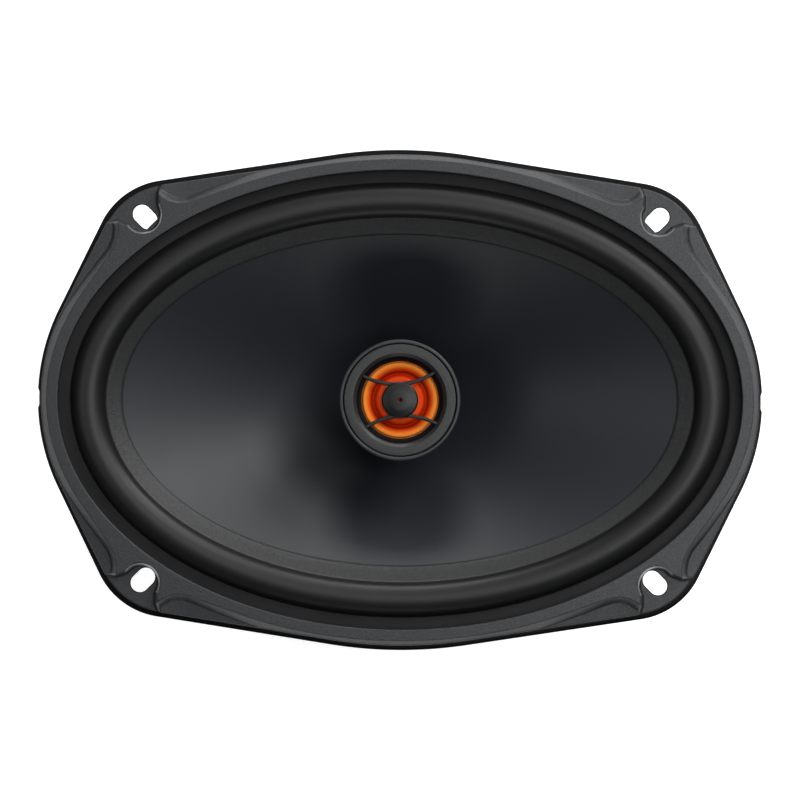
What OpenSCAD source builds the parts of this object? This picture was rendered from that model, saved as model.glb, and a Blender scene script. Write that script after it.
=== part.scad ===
// Oval two-way coaxial car speaker. All sizes in millimetres.
// Origin: centre of the flange's seating plane (its underside).
// +Z points out of the front, X runs along the long side, Y along the short side.

/* [Steel flange] */
// Centre of the long ends' arcs
end_x = 52; // [40:0.5:60]
// Radius of the long ends' arcs
end_r = 66; // [55:0.5:75]
// Corner arc centre along X
corner_x = 75.1; // [65:0.1:85]
// Corner arc centre along Y
corner_y = 46.3; // [38:0.1:54]
// Corner arc radius
corner_r = 25; // [15:0.5:35]
// Centre of the long sides' shallow arcs, beyond the middle
side_y = 62.5; // [50:0.5:80]
// Radius of the long sides' shallow arcs
side_r = 144; // [120:1:170]
// Sheet thickness of the basket
sheet_t = 1.2; // [0.8:0.1:2]
// Screw slot centre along X
slot_x = 83.4; // [75:0.1:95]
// Screw slot centre along Y
slot_y = 59.1; // [50:0.1:70]
// Screw slot width
slot_w = 6; // [4:0.5:8]
// Screw slot end-to-end length
slot_l = 8.8; // [6.2:0.2:14]

/* [Oval opening and ring] */
// Half length of the ring's opening
oval_a = 111; // [100:0.5:120]
// Half width of the ring's opening
oval_b = 74.5; // [65:0.5:85]
// Height of the ring's rim above the seating plane
ring_top = 8.2; // [7:0.1:10]
// Height of the ring's side facets
ring_mid = 5.4; // [4:0.1:6.5]
// Height of the floor of the corner pockets
ring_low = 2.1; // [2.1:0.1:3]

/* [Surround and cone] */
// Width of the surround's half roll
roll_w = 11.1; // [8:0.1:15]
// Height of the half roll above its foot
roll_h = 4.7; // [3:0.1:7]
// Cone neck radius
neck_r = 15.6; // [13:0.1:20]
// Height of the cone's neck
neck_z = -36; // [-42:0.5:-28]
// Cone travel each way
travel = 6; // [3:0.5:8]

/* [Basket] */
// Level of the spider's landing
landing_z = -42; // [-46:0.5:-36]
// Radius at which the legs meet the landing
landing_r = 47; // [44:0.5:52]
// Depth of the upright skirt below the flange
skirt_h = 7; // [4:0.5:12]
// Number of legs
legs = 8; // [6:1:10]

/* [Motor] */
// Upper face of the top plate
motor_z = -52; // [-56:0.5:-48]
// Mounting depth: the back plate's rear face
back_z = -79; // [-90:0.5:-70]
// Ferrite ring radius
ferrite_r = 45; // [38:0.5:52]
// Steel plate radius
plate_r = 42; // [36:0.5:48]
// Steel plate thickness
plate_t = 5.5; // [4:0.5:8]
// Pole radius
pole_r = 14.7; // [12:0.1:18]
// Top plate bore radius
gap_r = 16.7; // [14:0.1:20]

/* [Tweeter] */
// Tweeter housing radius
tw_r = 19.7; // [16:0.1:24]
// Top of the tweeter's rim
tw_top = 6; // [3:0.1:8]
// Thickness of the housing's rim
tw_wall = 1.2; // [0.8:0.1:1.8]
// Radius of the small cap disc
cap_r = 5.75; // [4:0.05:7]

/* [Hidden] */
fine = 120;
e = 0.02;
n_ang = 84;
n_oval = 96;
ang_1 = 25.8;
ang_2 = 81.2;
seat_z = sheet_t;
open_a = oval_a - 4;
open_b = oval_b - 3.9;
roll_out = -3.9;
roll_in = roll_out - roll_w;
lip_in = roll_in - 5.6;
lip_top_z = 1.6;
lip_low_z = -1.0;
cone_a = oval_a + lip_in;
cone_b = oval_b + lip_in;
cone_t = 0.8;
pocket = [83.7, 59.6];
pocket_r = 5.7;
horn_a = [92.0, 57.8];
horn_b = [79.0, 66.7];
board_t = 1.6;
board_z = landing_z + board_t;
tab_t = 0.8;
notch_w = 6;
notch_d = 0.45;
slip = 0.02;
// motor rivets: ring radius, shank radius and count
rivet_ring = 31;
rivet_r = 2;
rivet_n = 6;
// terminal board: half width, outer edge and depth, then its rivets and wire holes
board_w = 15.2;
board_y = -62;
board_d = 11.4;
fix = [12.5, -55];
pin = [6, -54];
pin_r = 1.6;
wire = [0.8, -52];
wire_r = 0.5;
// voice coil: former's outer radius and wall, winding's thickness
former_r = 15.5;
former_wall = 0.3;
winding_t = 0.7;
// tweeter's carrier: stem, post top, cup floor and mouth
stem_r = 4;
post_z = -13;
cup_r = 10;
cup_z = -8;
seat_tw = 1;
mouth_r = tw_r - tw_wall;
bezel_r = mouth_r - 0.3;
dome_r = 6.45;

black = [0.03, 0.03, 0.035];
steel = [0.62, 0.63, 0.65];
rubber = [0.06, 0.06, 0.065];
charcoal = [0.16, 0.165, 0.17];
orange = [0.95, 0.28, 0.06];

// ---- plan curves ----
function arc_pts(c, r, a0, a1, n) =
    [for (i = [0:n]) let (a = a0 + (a1 - a0) * i / n) [c[0] + r * cos(a), c[1] + r * sin(a)]];

function quarter(d) = concat(
    arc_pts([end_x, 0], end_r - d, 0.01, ang_1, 7),
    arc_pts([corner_x, corner_y], corner_r - d, ang_1, ang_2, 12),
    arc_pts([0, -side_y], side_r - d, ang_2, 89.99, 4));

function flip(p) = [for (i = [len(p) - 1:-1:0]) p[i]];

function outline(d) = let (q = quarter(d)) concat(
    q,
    flip([for (v = q) [-v[0], v[1]]]),
    [for (v = q) [-v[0], -v[1]]],
    flip([for (v = q) [v[0], -v[1]]]));

function oval_pts(w) = [for (i = [0:n_oval - 1]) let (a = i * 360 / n_oval)
    [(oval_a + w) * cos(a), (oval_b + w) * sin(a)]];

module oval(w, z0, z1) {
    translate([0, 0, z0]) linear_extrude(z1 - z0) polygon(oval_pts(w));
}

module four() {
    children();
    mirror([1, 0, 0]) children();
    mirror([0, 1, 0]) children();
    mirror([1, 0, 0]) mirror([0, 1, 0]) children();
}

module slot_cut(grow, z0, z1) {
    half = slot_l / 2 - slot_w / 2;
    four() translate([slot_x, slot_y, z0]) rotate([0, 0, 45]) {
        translate([half, 0, 0]) cylinder(h = z1 - z0, r = slot_w / 2 + grow, $fn = 60);
        translate([-half, 0, 0]) cylinder(h = z1 - z0, r = slot_w / 2 + grow, $fn = 60);
        translate([-half, -slot_w / 2 - grow, 0])
            cube([2 * half, slot_w + 2 * grow, z1 - z0]);
    }
}

// ---- swept skins ----
// A closed profile of [w, z] points, carried round the oval
module oval_sweep(prof) {
    m = len(prof);
    pts = [for (i = [0:n_ang - 1]) for (p = prof)
        [(oval_a + p[0]) * cos(i * 360 / n_ang), (oval_b + p[0]) * sin(i * 360 / n_ang), p[1]]];
    faces = [for (i = [0:n_ang - 1]) for (j = [0:m - 1])
        let (k = (i + 1) % n_ang, l = (j + 1) % m)
            [i * m + j, i * m + l, k * m + l, k * m + j]];
    polyhedron(points = pts, faces = faces, convexity = 6);
}

// A closed loop of [a, b, z] half axes and heights
module loft_sweep(prof) {
    m = len(prof);
    pts = [for (i = [0:n_ang - 1]) for (p = prof)
        [p[0] * cos(i * 360 / n_ang), p[1] * sin(i * 360 / n_ang), p[2]]];
    faces = [for (i = [0:n_ang - 1]) for (j = [0:m - 1])
        let (k = (i + 1) % n_ang, l = (j + 1) % m)
            [i * m + j, i * m + l, k * m + l, k * m + j]];
    polyhedron(points = pts, faces = faces, convexity = 6);
}

// ---- basket ----
module rivet_places() {
    for (i = [0:rivet_n - 1]) rotate([0, 0, (i + 0.5) * 360 / rivet_n])
        translate([rivet_ring, 0, 0]) children();
}

// Puts its children at p and at p's mirror image across the middle
module both(p) {
    for (s = [-1, 1]) translate([s * p[0], p[1], 0]) children();
}

leg_top = [open_a + 0.6, open_b + 0.6, 2 - skirt_h];
leg_end = [landing_r - 0.6, landing_r - 0.6, landing_z - 0.7];
leg_n = 9;

function leg_drop(t) = leg_top[2] + (leg_end[2] - leg_top[2]) * (1 - pow(1 - t, 1.5));
function leg_ax(t, k) = leg_top[k] + (leg_end[k] - leg_top[k]) * t;
function leg_half(t) = 6.5 + 2 * t + 5.5 * pow(abs(2 * t - 1), 5);

function leg_loop(t, mid, d) = let (
        dz = (leg_drop(min(1, t + 0.02)) - leg_drop(max(0, t - 0.02))),
        dr = -(leg_top[0] - leg_end[0]) * (min(1, t + 0.02) - max(0, t - 0.02)) * 0.7,
        s = norm([dr, dz]),
        out = [-dz / s, dr / s])
    [for (q = [-2:2]) let (a = mid + leg_half(t) * q / 2)
        [(leg_ax(t, 0) + d * out[0]) * cos(a), (leg_ax(t, 1) + d * out[0]) * sin(a),
         leg_drop(t) + d * out[1]]];

module leg(mid) {
    rows = [for (i = [0:leg_n]) let (t = i / leg_n)
        concat(leg_loop(t, mid, 0), flip(leg_loop(t, mid, sheet_t)))];
    m = len(rows[0]);
    pts = [for (r = rows) for (p = r) p];
    sides = [for (i = [0:leg_n - 1]) for (j = [0:m - 1]) let (l = (j + 1) % m)
        [i * m + j, (i + 1) * m + j, (i + 1) * m + l, i * m + l]];
    caps = [[for (j = [0:m - 1]) j], [for (j = [m - 1:-1:0]) leg_n * m + j]];
    polyhedron(points = pts, faces = concat(sides, caps), convexity = 4);
}

module basket() {
    color(black) difference() {
        union() {
            linear_extrude(sheet_t) polygon(outline(0));
            oval(-4 + sheet_t, -skirt_h, sheet_t / 2);
            for (i = [0:legs - 1]) leg((i + 0.5) * 360 / legs);
            translate([0, 0, landing_z - sheet_t])
                cylinder(h = sheet_t, r = landing_r + 1, $fn = fine);
            translate([-16, -63, landing_z - sheet_t]) cube([32, 20, sheet_t]);
            translate([0, 0, motor_z])
                cylinder(h = landing_z - motor_z - 0.2, r = plate_r - 0.2, $fn = fine);
        }
        oval(-4, -skirt_h - 1, sheet_t + 1);
        translate([0, 0, motor_z + sheet_t])
            cylinder(h = 30, r = plate_r - 1.4, $fn = fine);
        translate([0, 0, motor_z - 1]) cylinder(h = 10, r = 20, $fn = fine);
        slot_cut(0, -1, 3);
        for (s = [0, 1]) mirror([s, 0, 0])
            translate([end_x + end_r - notch_d, -notch_w / 2, -1]) cube([2, notch_w, 4]);
        rivet_places() translate([0, 0, motor_z - 1]) cylinder(h = 4, r = rivet_r + slip, $fn = 24);
        translate([-9.5, -60, landing_z - 3]) cube([19, 11, 4]);
        both(fix) translate([0, 0, landing_z - 3]) cylinder(h = 4, r = pin_r + slip, $fn = 24);
    }
}

module basket_rivets() {
    color(steel) rivet_places() {
        translate([0, 0, motor_z - 3]) cylinder(h = 4.5, r = rivet_r, $fn = 24);
        translate([0, 0, motor_z + sheet_t]) cylinder(h = 1.1, r1 = 3.4, r2 = 2.6, $fn = 36);
    }
}

// ---- moulded ring ----
module ring_horn() {
    four() linear_extrude(ring_top - ring_mid + 0.4) polygon([
        [60, 50], [80, 36], [98.6, 41.2], [96.6, 44.6], [94.2, 48.2], [92.9, 51.4],
        [92.4, 54.6], horn_a + [-0.05, 0.6], pocket + [1.2, 1.8], horn_b + [0.6, 0.1],
        [77.2, 64.9], [75.2, 63.9], [72.6, 63.4],
        [69.4, 63.7], [65.6, 64.9]]);
}

module ring_pocket(z0, z1) {
    four() translate([0, 0, z0]) {
        translate([pocket[0], pocket[1], 0]) cylinder(h = z1 - z0, r = pocket_r, $fn = 72);
        linear_extrude(z1 - z0) polygon([
            pocket, pocket + pocket_r * [0.825, -0.565], horn_a, [95.2, 57.1], [104, 62], [90, 80],
            [74, 76], [78.2, 69.6], horn_b, pocket + pocket_r * [-0.825, 0.565]]);
    }
}

module trim_ring() {
    color(charcoal) difference() {
        union() {
            translate([0, 0, seat_z]) linear_extrude(ring_low - seat_z) polygon(outline(1.5));
            difference() {
                translate([0, 0, ring_low - e])
                    linear_extrude(ring_mid - ring_low + e) polygon(outline(1.7));
                ring_pocket(ring_low, ring_top);
            }
            difference() {
                union() {
                    oval_sweep([[-0.6, ring_mid - 0.5], [5.9, ring_mid - 0.5],
                        [5.9, ring_mid], [3.6, ring_top], [-0.6, ring_top]]);
                    translate([0, 0, ring_mid - 0.4]) ring_horn();
                }
                ring_pocket(ring_low, ring_top + 1);
            }
        }
        oval(0, seat_z - 1, ring_top + 1);
        oval(1.6, seat_z - 1, 2.05);
        slot_cut(0.35, 0, ring_top + 1);
    }
}

// ---- moving and flexing parts ----
roll_mid = roll_out - roll_w / 2;
function roll_pts(half, h, z, n) = [for (i = [0:n]) let (a = 180 * i / n)
    [roll_mid + half * cos(a), z + h * sin(a)]];

module surround() {
    top = concat([[1.4, 2.0], [-3.5, 2.0]], roll_pts(roll_w / 2, roll_h, 2.1, 10),
        [[roll_in - 0.5, lip_top_z + 0.55], [lip_in, lip_low_z + 0.6]]);
    low = concat([[1.4, seat_z], [-3.9, seat_z]],
        roll_pts(roll_w / 2 - 0.75, roll_h - 0.75, 2.1 - 0.2, 8),
        [[roll_in - 0.1, lip_top_z + 0.05], [lip_in, lip_low_z + 0.05]]);
    color(rubber) oval_sweep(concat(top, flip(low)));
}

function cone_at(u, d) = [
    neck_r + (cone_a - neck_r) * u + d[0], neck_r + (cone_b - neck_r) * u + d[0],
    neck_z + (lip_low_z - neck_z) * pow(u, 0.85) + d[1]];
cone_us = [0.9, 0.75, 0.6, 0.45, 0.3, 0.18, 0.08, 0];

module cone() {
    rim_a = oval_a + roll_in;
    rim_b = oval_b + roll_in;
    color([0.09, 0.095, 0.105]) loft_sweep(concat(
        [[rim_a, rim_b, lip_top_z], [cone_a, cone_b, lip_low_z]],
        [for (u = cone_us) cone_at(u, [0, 0])],
        [[neck_r, neck_r, neck_z - 3], [neck_r + cone_t, neck_r + cone_t, neck_z - 3]],
        flip([for (u = cone_us) cone_at(u, [0.25, -0.9])]),
        [[cone_a + 0.2, cone_b + 0.2, lip_low_z - 0.9], [rim_a, rim_b, lip_top_z - 0.9]]));
}

module voice_coil_former() {
    color([0.72, 0.5, 0.2]) difference() {
        translate([0, 0, -62]) cylinder(h = 25.8, r = former_r, $fn = fine);
        translate([0, 0, -63]) cylinder(h = 28, r = former_r - former_wall, $fn = fine);
    }
}

module voice_coil() {
    color([0.72, 0.38, 0.18]) difference() {
        translate([0, 0, -61]) cylinder(h = 12.5, r = former_r + winding_t, $fn = fine);
        translate([0, 0, -62]) cylinder(h = 15, r = former_r, $fn = fine);
    }
}

anchor_y = -27;
anchor_tilt = 43;
anchor_dir = [0, -sin(anchor_tilt), -cos(anchor_tilt)];
anchor_p = [pin[0], anchor_y, cone_at(0.307, [0, 0])[2] - 1.0];
module lead_anchors() {
    color([0.75, 0.72, 0.6]) for (s = [0, 1]) mirror([s, 0, 0])
        translate(anchor_p) rotate([-anchor_tilt, 0, 0])
            translate([0, 0, -1.2]) cylinder(h = 1.2, r = 1.6, $fn = 30);
}

spider_z = landing_z + 0.25;
function wave(r) = r < 20 || r > 40 ? 0 : 1.3 * sin(360 * (r - 20) / 5);
module spider() {
    rs = concat([former_r + slip, 18.5], [for (i = [0:32]) 20 + i * 20 / 32], [41.5, 46.6]);
    top = [for (r = rs) [r, spider_z + wave(r) + 0.25]];
    low = [for (r = rs) [r, spider_z + wave(r) - 0.25]];
    color([0.78, 0.62, 0.3]) rotate_extrude($fn = fine) polygon(concat(top, flip(low)));
}

// ---- motor ----
module top_plate() {
    color(steel) difference() {
        translate([0, 0, motor_z - plate_t]) cylinder(h = plate_t, r = plate_r, $fn = fine);
        translate([0, 0, motor_z - plate_t - 1]) cylinder(h = plate_t + 2, r = gap_r, $fn = fine);
        rivet_places() translate([0, 0, motor_z - 3]) cylinder(h = 4, r = rivet_r, $fn = 24);
    }
}

magnet_z0 = back_z + plate_t;
magnet_z1 = motor_z - plate_t;
module ferrite_magnet() {
    color([0.14, 0.14, 0.15]) rotate_extrude($fn = fine) polygon([
        [22, magnet_z0], [ferrite_r - 1, magnet_z0], [ferrite_r, magnet_z0 + 1],
        [ferrite_r, magnet_z1 - 1], [ferrite_r - 1, magnet_z1], [22, magnet_z1]]);
}

nut_z = back_z + 2;
nut_h = 3.6;
washer_t = 0.8;
sink_z = nut_z + nut_h + washer_t;
module pole_yoke() {
    color(steel) difference() {
        rotate_extrude($fn = fine) polygon([
            [stem_r + 0.2, sink_z], [9.2, sink_z], [9.2, back_z], [plate_r - 0.8, back_z],
            [plate_r, back_z + 0.8], [plate_r, magnet_z0], [pole_r + 1.5, magnet_z0],
            [pole_r, magnet_z0 + 1.5], [pole_r, motor_z - 0.6], [pole_r - 0.6, motor_z],
            [stem_r + 0.2, motor_z]]);
        translate([-1.7, -plate_r - 1, back_z - 1]) cube([3.4, plate_r - 6, 2.9]);
    }
}

module tweeter_post() {
    color(black) difference() {
        rotate_extrude($fn = fine) polygon([
            [3, motor_z], [14, motor_z], [14, motor_z + 1.5], [11, motor_z + 5],
            [11, post_z], [4.9, post_z], [4.9, post_z + 3.5], [3, post_z + 3.5]]);
        translate([0, 0, motor_z - 1]) cylinder(h = 9, r = stem_r + slip, $fn = 60);
    }
}

module mounting_stem() {
    color(steel) difference() {
        translate([0, 0, nut_z - 0.2]) cylinder(h = 33, r = stem_r, $fn = 60);
        translate([0, 0, nut_z - 1]) cylinder(h = 36, r = stem_r / 2, $fn = 48);
    }
}

module stem_nut() {
    color(steel) difference() {
        translate([0, 0, nut_z]) cylinder(h = nut_h, r = 7.5, $fn = 6);
        translate([0, 0, nut_z - 1]) cylinder(h = nut_h + 2, r = stem_r + slip, $fn = 60);
    }
}

module lock_washer() {
    color(steel) difference() {
        translate([0, 0, nut_z + nut_h]) cylinder(h = washer_t, r = 7.8, $fn = 60);
        translate([0, 0, nut_z + nut_h - 1]) cylinder(h = 3, r = stem_r + 0.1, $fn = 60);
        rotate([0, 0, 20]) translate([3, -0.5, nut_z + nut_h - 1]) cube([6, 1, 3]);
    }
}

// ---- tweeter ----
module tweeter_housing() {
    color(charcoal) rotate_extrude($fn = fine) polygon([
        [5, post_z], [12, post_z], [13.5, post_z + 0.4], [17.6, -8.8], [19, -6.6], [tw_r, -4.2],
        [tw_r, tw_top - 0.4], [tw_r - 0.4, tw_top], [mouth_r + 0.3, tw_top],
        [mouth_r, tw_top - 0.3], [mouth_r, seat_tw], [cup_r + 0.1, seat_tw],
        [cup_r + 0.1, cup_z], [5, cup_z]]);
}

module tweeter_bezel() {
    color(black) rotate_extrude($fn = fine) polygon([
        [15.2, seat_tw], [bezel_r, seat_tw], [bezel_r, tw_top - 0.5], [bezel_r - 0.3, tw_top - 0.2],
        [15.5, tw_top - 0.2], [15.1, tw_top - 0.6], [14.8, tw_top - 1.1], [14.7, tw_top - 1.6],
        [13.9, tw_top - 1.6], [13.7, tw_top - 1.8], [13.6, 2], [12.35, 1.85], [12.35, 1.5],
        [13.4, 1.45], [13.5, 1.3], [15.2, 1.3]]);
}

arm_z = tw_top - 1.6;
module arm(a0, a1) {
    p = [5 * cos(a0), 5 * sin(a0)];
    q = [14.5 * cos(a1), 14.5 * sin(a1)];
    d = q - p;
    translate([p[0], p[1], arm_z]) rotate([0, 0, atan2(d[1], d[0])])
        translate([0, -0.575, 0]) cube([norm(d), 1.15, 0.9]);
}

module tweeter_grille() {
    color(black) difference() {
        union() {
            rotate_extrude($fn = 72) polygon([
                [0, arm_z - 0.3], [cap_r - 0.4, arm_z - 0.3], [cap_r, arm_z + 0.1],
                [cap_r, arm_z + 1.0], [cap_r - 0.5, arm_z + 1.5], [3.4, arm_z + 1.9],
                [0, arm_z + 2.1]]);
            intersection() {
                union() {
                    for (s = [0, 1]) mirror([s, 0, 0]) {
                        arm(64, 39.5);
                        arm(-64, -37);
                    }
                }
                translate([0, 0, arm_z - 1]) cylinder(h = 4, r = 14.5, $fn = fine);
            }
        }
        translate([0, 0, arm_z - 1]) cylinder(h = 5, r = 0.65, $fn = 30);
    }
}

dia_prof = [[0, 3.3], [2, 3.2], [3.6, 2.95], [5, 2.55], [6.1, 2.15], [6.4, 2.12], [6.9, 2.3],
    [7.5, 1.7], [8.2, 1.05], [8.7, 0.95], [9.4, 1.25], [10.3, 2.1], [11.2, 2.5], [11.9, 2.1],
    [12.4, 1.25], [12.8, 1.15], [15.0, 1.15]];
module tweeter_diaphragm() {
    color(orange) rotate_extrude($fn = fine) polygon(concat(
        [for (p = dia_prof) p + [0, 0.14]],
        flip([for (p = dia_prof) p - [0, 0.14]])));
}

module tweeter_former() {
    color([0.75, 0.75, 0.77]) difference() {
        translate([0, 0, -4.6]) cylinder(h = 6.54, r = dome_r, $fn = 72);
        translate([0, 0, -5]) cylinder(h = 8, r = dome_r - 0.15, $fn = 72);
    }
}

module tweeter_coil() {
    color([0.72, 0.38, 0.18]) difference() {
        translate([0, 0, -3]) cylinder(h = 2.4, r = dome_r + 0.35, $fn = 72);
        translate([0, 0, -4]) cylinder(h = 5, r = dome_r, $fn = 72);
    }
}

module tweeter_yoke() {
    color(steel) difference() {
        translate([0, 0, cup_z]) cylinder(h = 7.4, r = cup_r, $fn = fine);
        translate([0, 0, cup_z + 1.5]) cylinder(h = 8, r = 7.4, $fn = fine);
        both([wire[0], 0]) translate([0, 0, cup_z - 1]) cylinder(h = 3, r = wire_r + 0.05, $fn = 18);
    }
}

module tweeter_magnet() {
    color([0.7, 0.71, 0.74]) translate([0, 0, cup_z + 1.5])
        cylinder(h = 3.9, r = 5.6, $fn = 72);
}

module tweeter_plate() {
    color(steel) translate([0, 0, cup_z + 5.4]) cylinder(h = 2, r = 5.9, $fn = 72);
}

// ---- wiring ----
module terminal_board() {
    color([0.42, 0.24, 0.1]) difference() {
        translate([-board_w, board_y, landing_z]) cube([2 * board_w, board_d, board_t]);
        both(fix) translate([0, 0, landing_z - 1]) cylinder(h = 4, r = pin_r + slip, $fn = 24);
        both(pin) translate([0, 0, landing_z - 1]) cylinder(h = 4, r = pin_r + slip, $fn = 24);
        both(wire) translate([0, 0, landing_z - 1]) cylinder(h = 4, r = wire_r + 0.05, $fn = 18);
    }
}

module tab(w) {
    difference() {
        union() {
            translate([-w / 2, -69.5, 0]) cube([w, 18.3, tab_t]);
            translate([-2.4, -57, 0]) cube([4.8, 6.2, tab_t]);
            translate([-w / 2 + 0.6, -71, 0]) cube([w - 1.2, 3, tab_t]);
        }
        translate([0, pin[1], -1]) cylinder(h = 3, r = pin_r + slip, $fn = 24);
        translate([0, -67.4, -1]) cylinder(h = 3, r = 0.7, $fn = 24);
    }
}

module tab_positive() {
    color([0.85, 0.68, 0.3]) translate([-pin[0], 0, board_z]) tab(4.8);
}

module tab_negative() {
    color([0.85, 0.68, 0.3]) translate([pin[0], 0, board_z]) tab(2.8);
}

module rivet(z0, z1) {
    head_t = 0.7;
    for (z = [z0 - head_t, z1]) translate([0, 0, z]) cylinder(h = head_t, r = 2.3, $fn = 30);
    translate([0, 0, z0 - 0.1]) cylinder(h = z1 - z0 + 0.2, r = pin_r, $fn = 24);
}

module terminal_rivets() {
    color(steel) {
        both(fix) rivet(landing_z - sheet_t, board_z);
        both(pin) rivet(landing_z, board_z + tab_t);
    }
}

can_r = 4;
can_y = -60.2;
can_z = board_z + tab_t + can_r + 0.05;
can_wire_x = 9.4;
module rod(p, q, r) {
    d = q - p;
    translate(p) rotate([0, acos(d[2] / norm(d)), atan2(d[1], d[0])])
        cylinder(h = norm(d), r = r, $fn = 18);
    translate(q) sphere(r = r * 1.06, $fn = 18);
}

module path(pts, r) {
    translate(pts[0]) sphere(r = r * 1.06, $fn = 18);
    for (i = [0:len(pts) - 2]) rod(pts[i], pts[i + 1], r);
}

module crossover_capacitor() {
    color([0.1, 0.12, 0.3]) {
        translate([-7, can_y, can_z]) rotate([0, 90, 0]) cylinder(h = 14, r = can_r, $fn = 48);
        for (s = [-1, 1]) path([[6.5 * s, can_y, can_z], [can_wire_x * s, can_y, can_z],
            [can_wire_x * s, can_y, board_z + 0.3]], 0.3);
    }
}

module tweeter_leads() {
    out_y = -ferrite_r - 0.75;
    color([0.6, 0.12, 0.1]) for (s = [-1, 1]) path([
        [wire[0] * s, 0, -7.1], [wire[0] * s, 0, back_z + 1.1], [wire[0] * s, out_y, back_z + 1.1],
        [wire[0] * s, out_y, landing_z - 4], [wire[0] * s, wire[1], landing_z - 2.2],
        [wire[0] * s, wire[1], board_z + 0.4]], wire_r);
}

module tinsel() {
    x = pin[0];
    path([[x, -51.1, board_z + tab_t + 0.55], [x, -48.5, board_z + 4], [x, -43, board_z + 5.8],
        [x, -38.5, board_z + 5.5], [x, -34.5, board_z + 5.6], [x, -31.3, board_z + 7.8],
        [x, -29.2, board_z + 11.4], anchor_p + 1.78 * anchor_dir], wire_r);
}

module tinsel_positive() {
    color([0.75, 0.55, 0.3]) mirror([1, 0, 0]) tinsel();
}

module tinsel_negative() {
    color([0.75, 0.55, 0.3]) tinsel();
}

basket();
trim_ring();
surround();
cone();
voice_coil_former();
voice_coil();
lead_anchors();
spider();
basket_rivets();
top_plate();
ferrite_magnet();
pole_yoke();
tweeter_post();
mounting_stem();
lock_washer();
stem_nut();
tweeter_housing();
tweeter_bezel();
tweeter_grille();
tweeter_diaphragm();
tweeter_former();
tweeter_coil();
tweeter_yoke();
tweeter_magnet();
tweeter_plate();
terminal_board();
tab_positive();
tab_negative();
terminal_rivets();
crossover_capacitor();
tweeter_leads();
tinsel_positive();
tinsel_negative();
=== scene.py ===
"""Oval two-way coaxial car speaker: the looks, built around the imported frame.

Lengths in the profiles below are millimetres in the frame's axes (origin at the centre of the
flange's underside, +Z out of the front, X along the long side); MM turns them into metres.
"""
from math import acos, atan2, cos, hypot, pi, radians, sin, sqrt, tan

import bmesh
import bpy
import numpy as np
from mathutils import Matrix, Vector


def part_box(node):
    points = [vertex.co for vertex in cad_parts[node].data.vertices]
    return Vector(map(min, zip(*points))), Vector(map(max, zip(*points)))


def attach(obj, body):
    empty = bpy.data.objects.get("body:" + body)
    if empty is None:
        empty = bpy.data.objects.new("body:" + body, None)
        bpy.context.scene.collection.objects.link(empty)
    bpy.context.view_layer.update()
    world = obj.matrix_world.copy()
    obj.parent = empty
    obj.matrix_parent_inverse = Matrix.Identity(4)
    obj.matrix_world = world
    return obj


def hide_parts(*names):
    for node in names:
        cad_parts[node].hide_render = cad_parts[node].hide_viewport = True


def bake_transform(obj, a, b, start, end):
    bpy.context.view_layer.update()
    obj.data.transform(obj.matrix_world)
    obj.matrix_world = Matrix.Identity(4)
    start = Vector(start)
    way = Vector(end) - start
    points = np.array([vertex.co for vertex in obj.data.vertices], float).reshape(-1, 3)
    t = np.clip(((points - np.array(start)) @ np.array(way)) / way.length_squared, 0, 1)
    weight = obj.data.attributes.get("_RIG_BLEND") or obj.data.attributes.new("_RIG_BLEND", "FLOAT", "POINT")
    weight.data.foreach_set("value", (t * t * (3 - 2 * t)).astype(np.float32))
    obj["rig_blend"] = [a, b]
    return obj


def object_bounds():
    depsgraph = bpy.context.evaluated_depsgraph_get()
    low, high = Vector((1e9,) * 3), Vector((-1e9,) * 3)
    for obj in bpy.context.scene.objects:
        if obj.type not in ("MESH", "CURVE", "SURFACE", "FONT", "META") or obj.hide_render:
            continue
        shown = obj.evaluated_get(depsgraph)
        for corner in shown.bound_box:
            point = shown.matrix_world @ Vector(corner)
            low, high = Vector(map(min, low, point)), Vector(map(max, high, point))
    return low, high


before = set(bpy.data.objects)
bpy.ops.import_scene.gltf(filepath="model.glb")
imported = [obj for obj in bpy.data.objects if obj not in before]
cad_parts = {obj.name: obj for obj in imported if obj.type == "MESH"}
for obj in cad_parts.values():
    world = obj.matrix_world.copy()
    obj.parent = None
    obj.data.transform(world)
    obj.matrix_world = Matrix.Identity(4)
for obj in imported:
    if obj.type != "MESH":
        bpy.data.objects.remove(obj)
CAD_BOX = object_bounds()
MM = 0.001
TAU = 2 * pi


def top_of(node):
    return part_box(node)[1].z / MM


def low_of(node):
    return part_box(node)[0].z / MM


def reach(node, axis=0):
    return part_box(node)[1][axis] / MM


# ---------------------------------------------------------------- sizes, from the frame
RUBBER_LAP = 1.4                          # how far the rubber runs on under the ring
OVAL_A = reach("surround") - RUBBER_LAP   # half axes of the ring's opening
OVAL_B = reach("surround", 1) - RUBBER_LAP
RING_TOP = top_of("trim_ring")
SEAT = low_of("trim_ring")                # the flange's upper face
SHEET = SEAT                              # its thickness, as its underside is at z 0
ROLL_OUT = -3.9                           # offsets from the opening, inwards negative
ROLL_IN = -15.0
LIP_IN = -20.6
LIP_TOP = top_of("cone")
LIP_LOW = LIP_TOP - 2.6
NECK_R = 15.6
NECK_Z = low_of("cone") + 3
CONE_A = OVAL_A + LIP_IN
CONE_B = OVAL_B + LIP_IN
CONE_CURVE = 0.85                         # below 1 the cone is steeper at its neck than at its rim
MOTOR_Z = top_of("top_plate")
PLATE_T = MOTOR_Z - low_of("top_plate")
PLATE_R = reach("top_plate")
BACK_Z = low_of("pole_yoke")
POLE_R = 14.7
STEM_R = 4.0
FERRITE_R = reach("ferrite_magnet")
LANDING_Z = low_of("terminal_board")
LANDING_R = 47.0
BOARD_Z = top_of("terminal_board")
TW_TOP = top_of("tweeter_housing")
TW_R = reach("tweeter_housing")
TRAVEL_ZONE = (ROLL_OUT - 0.3, ROLL_IN + 0.3)

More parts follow.
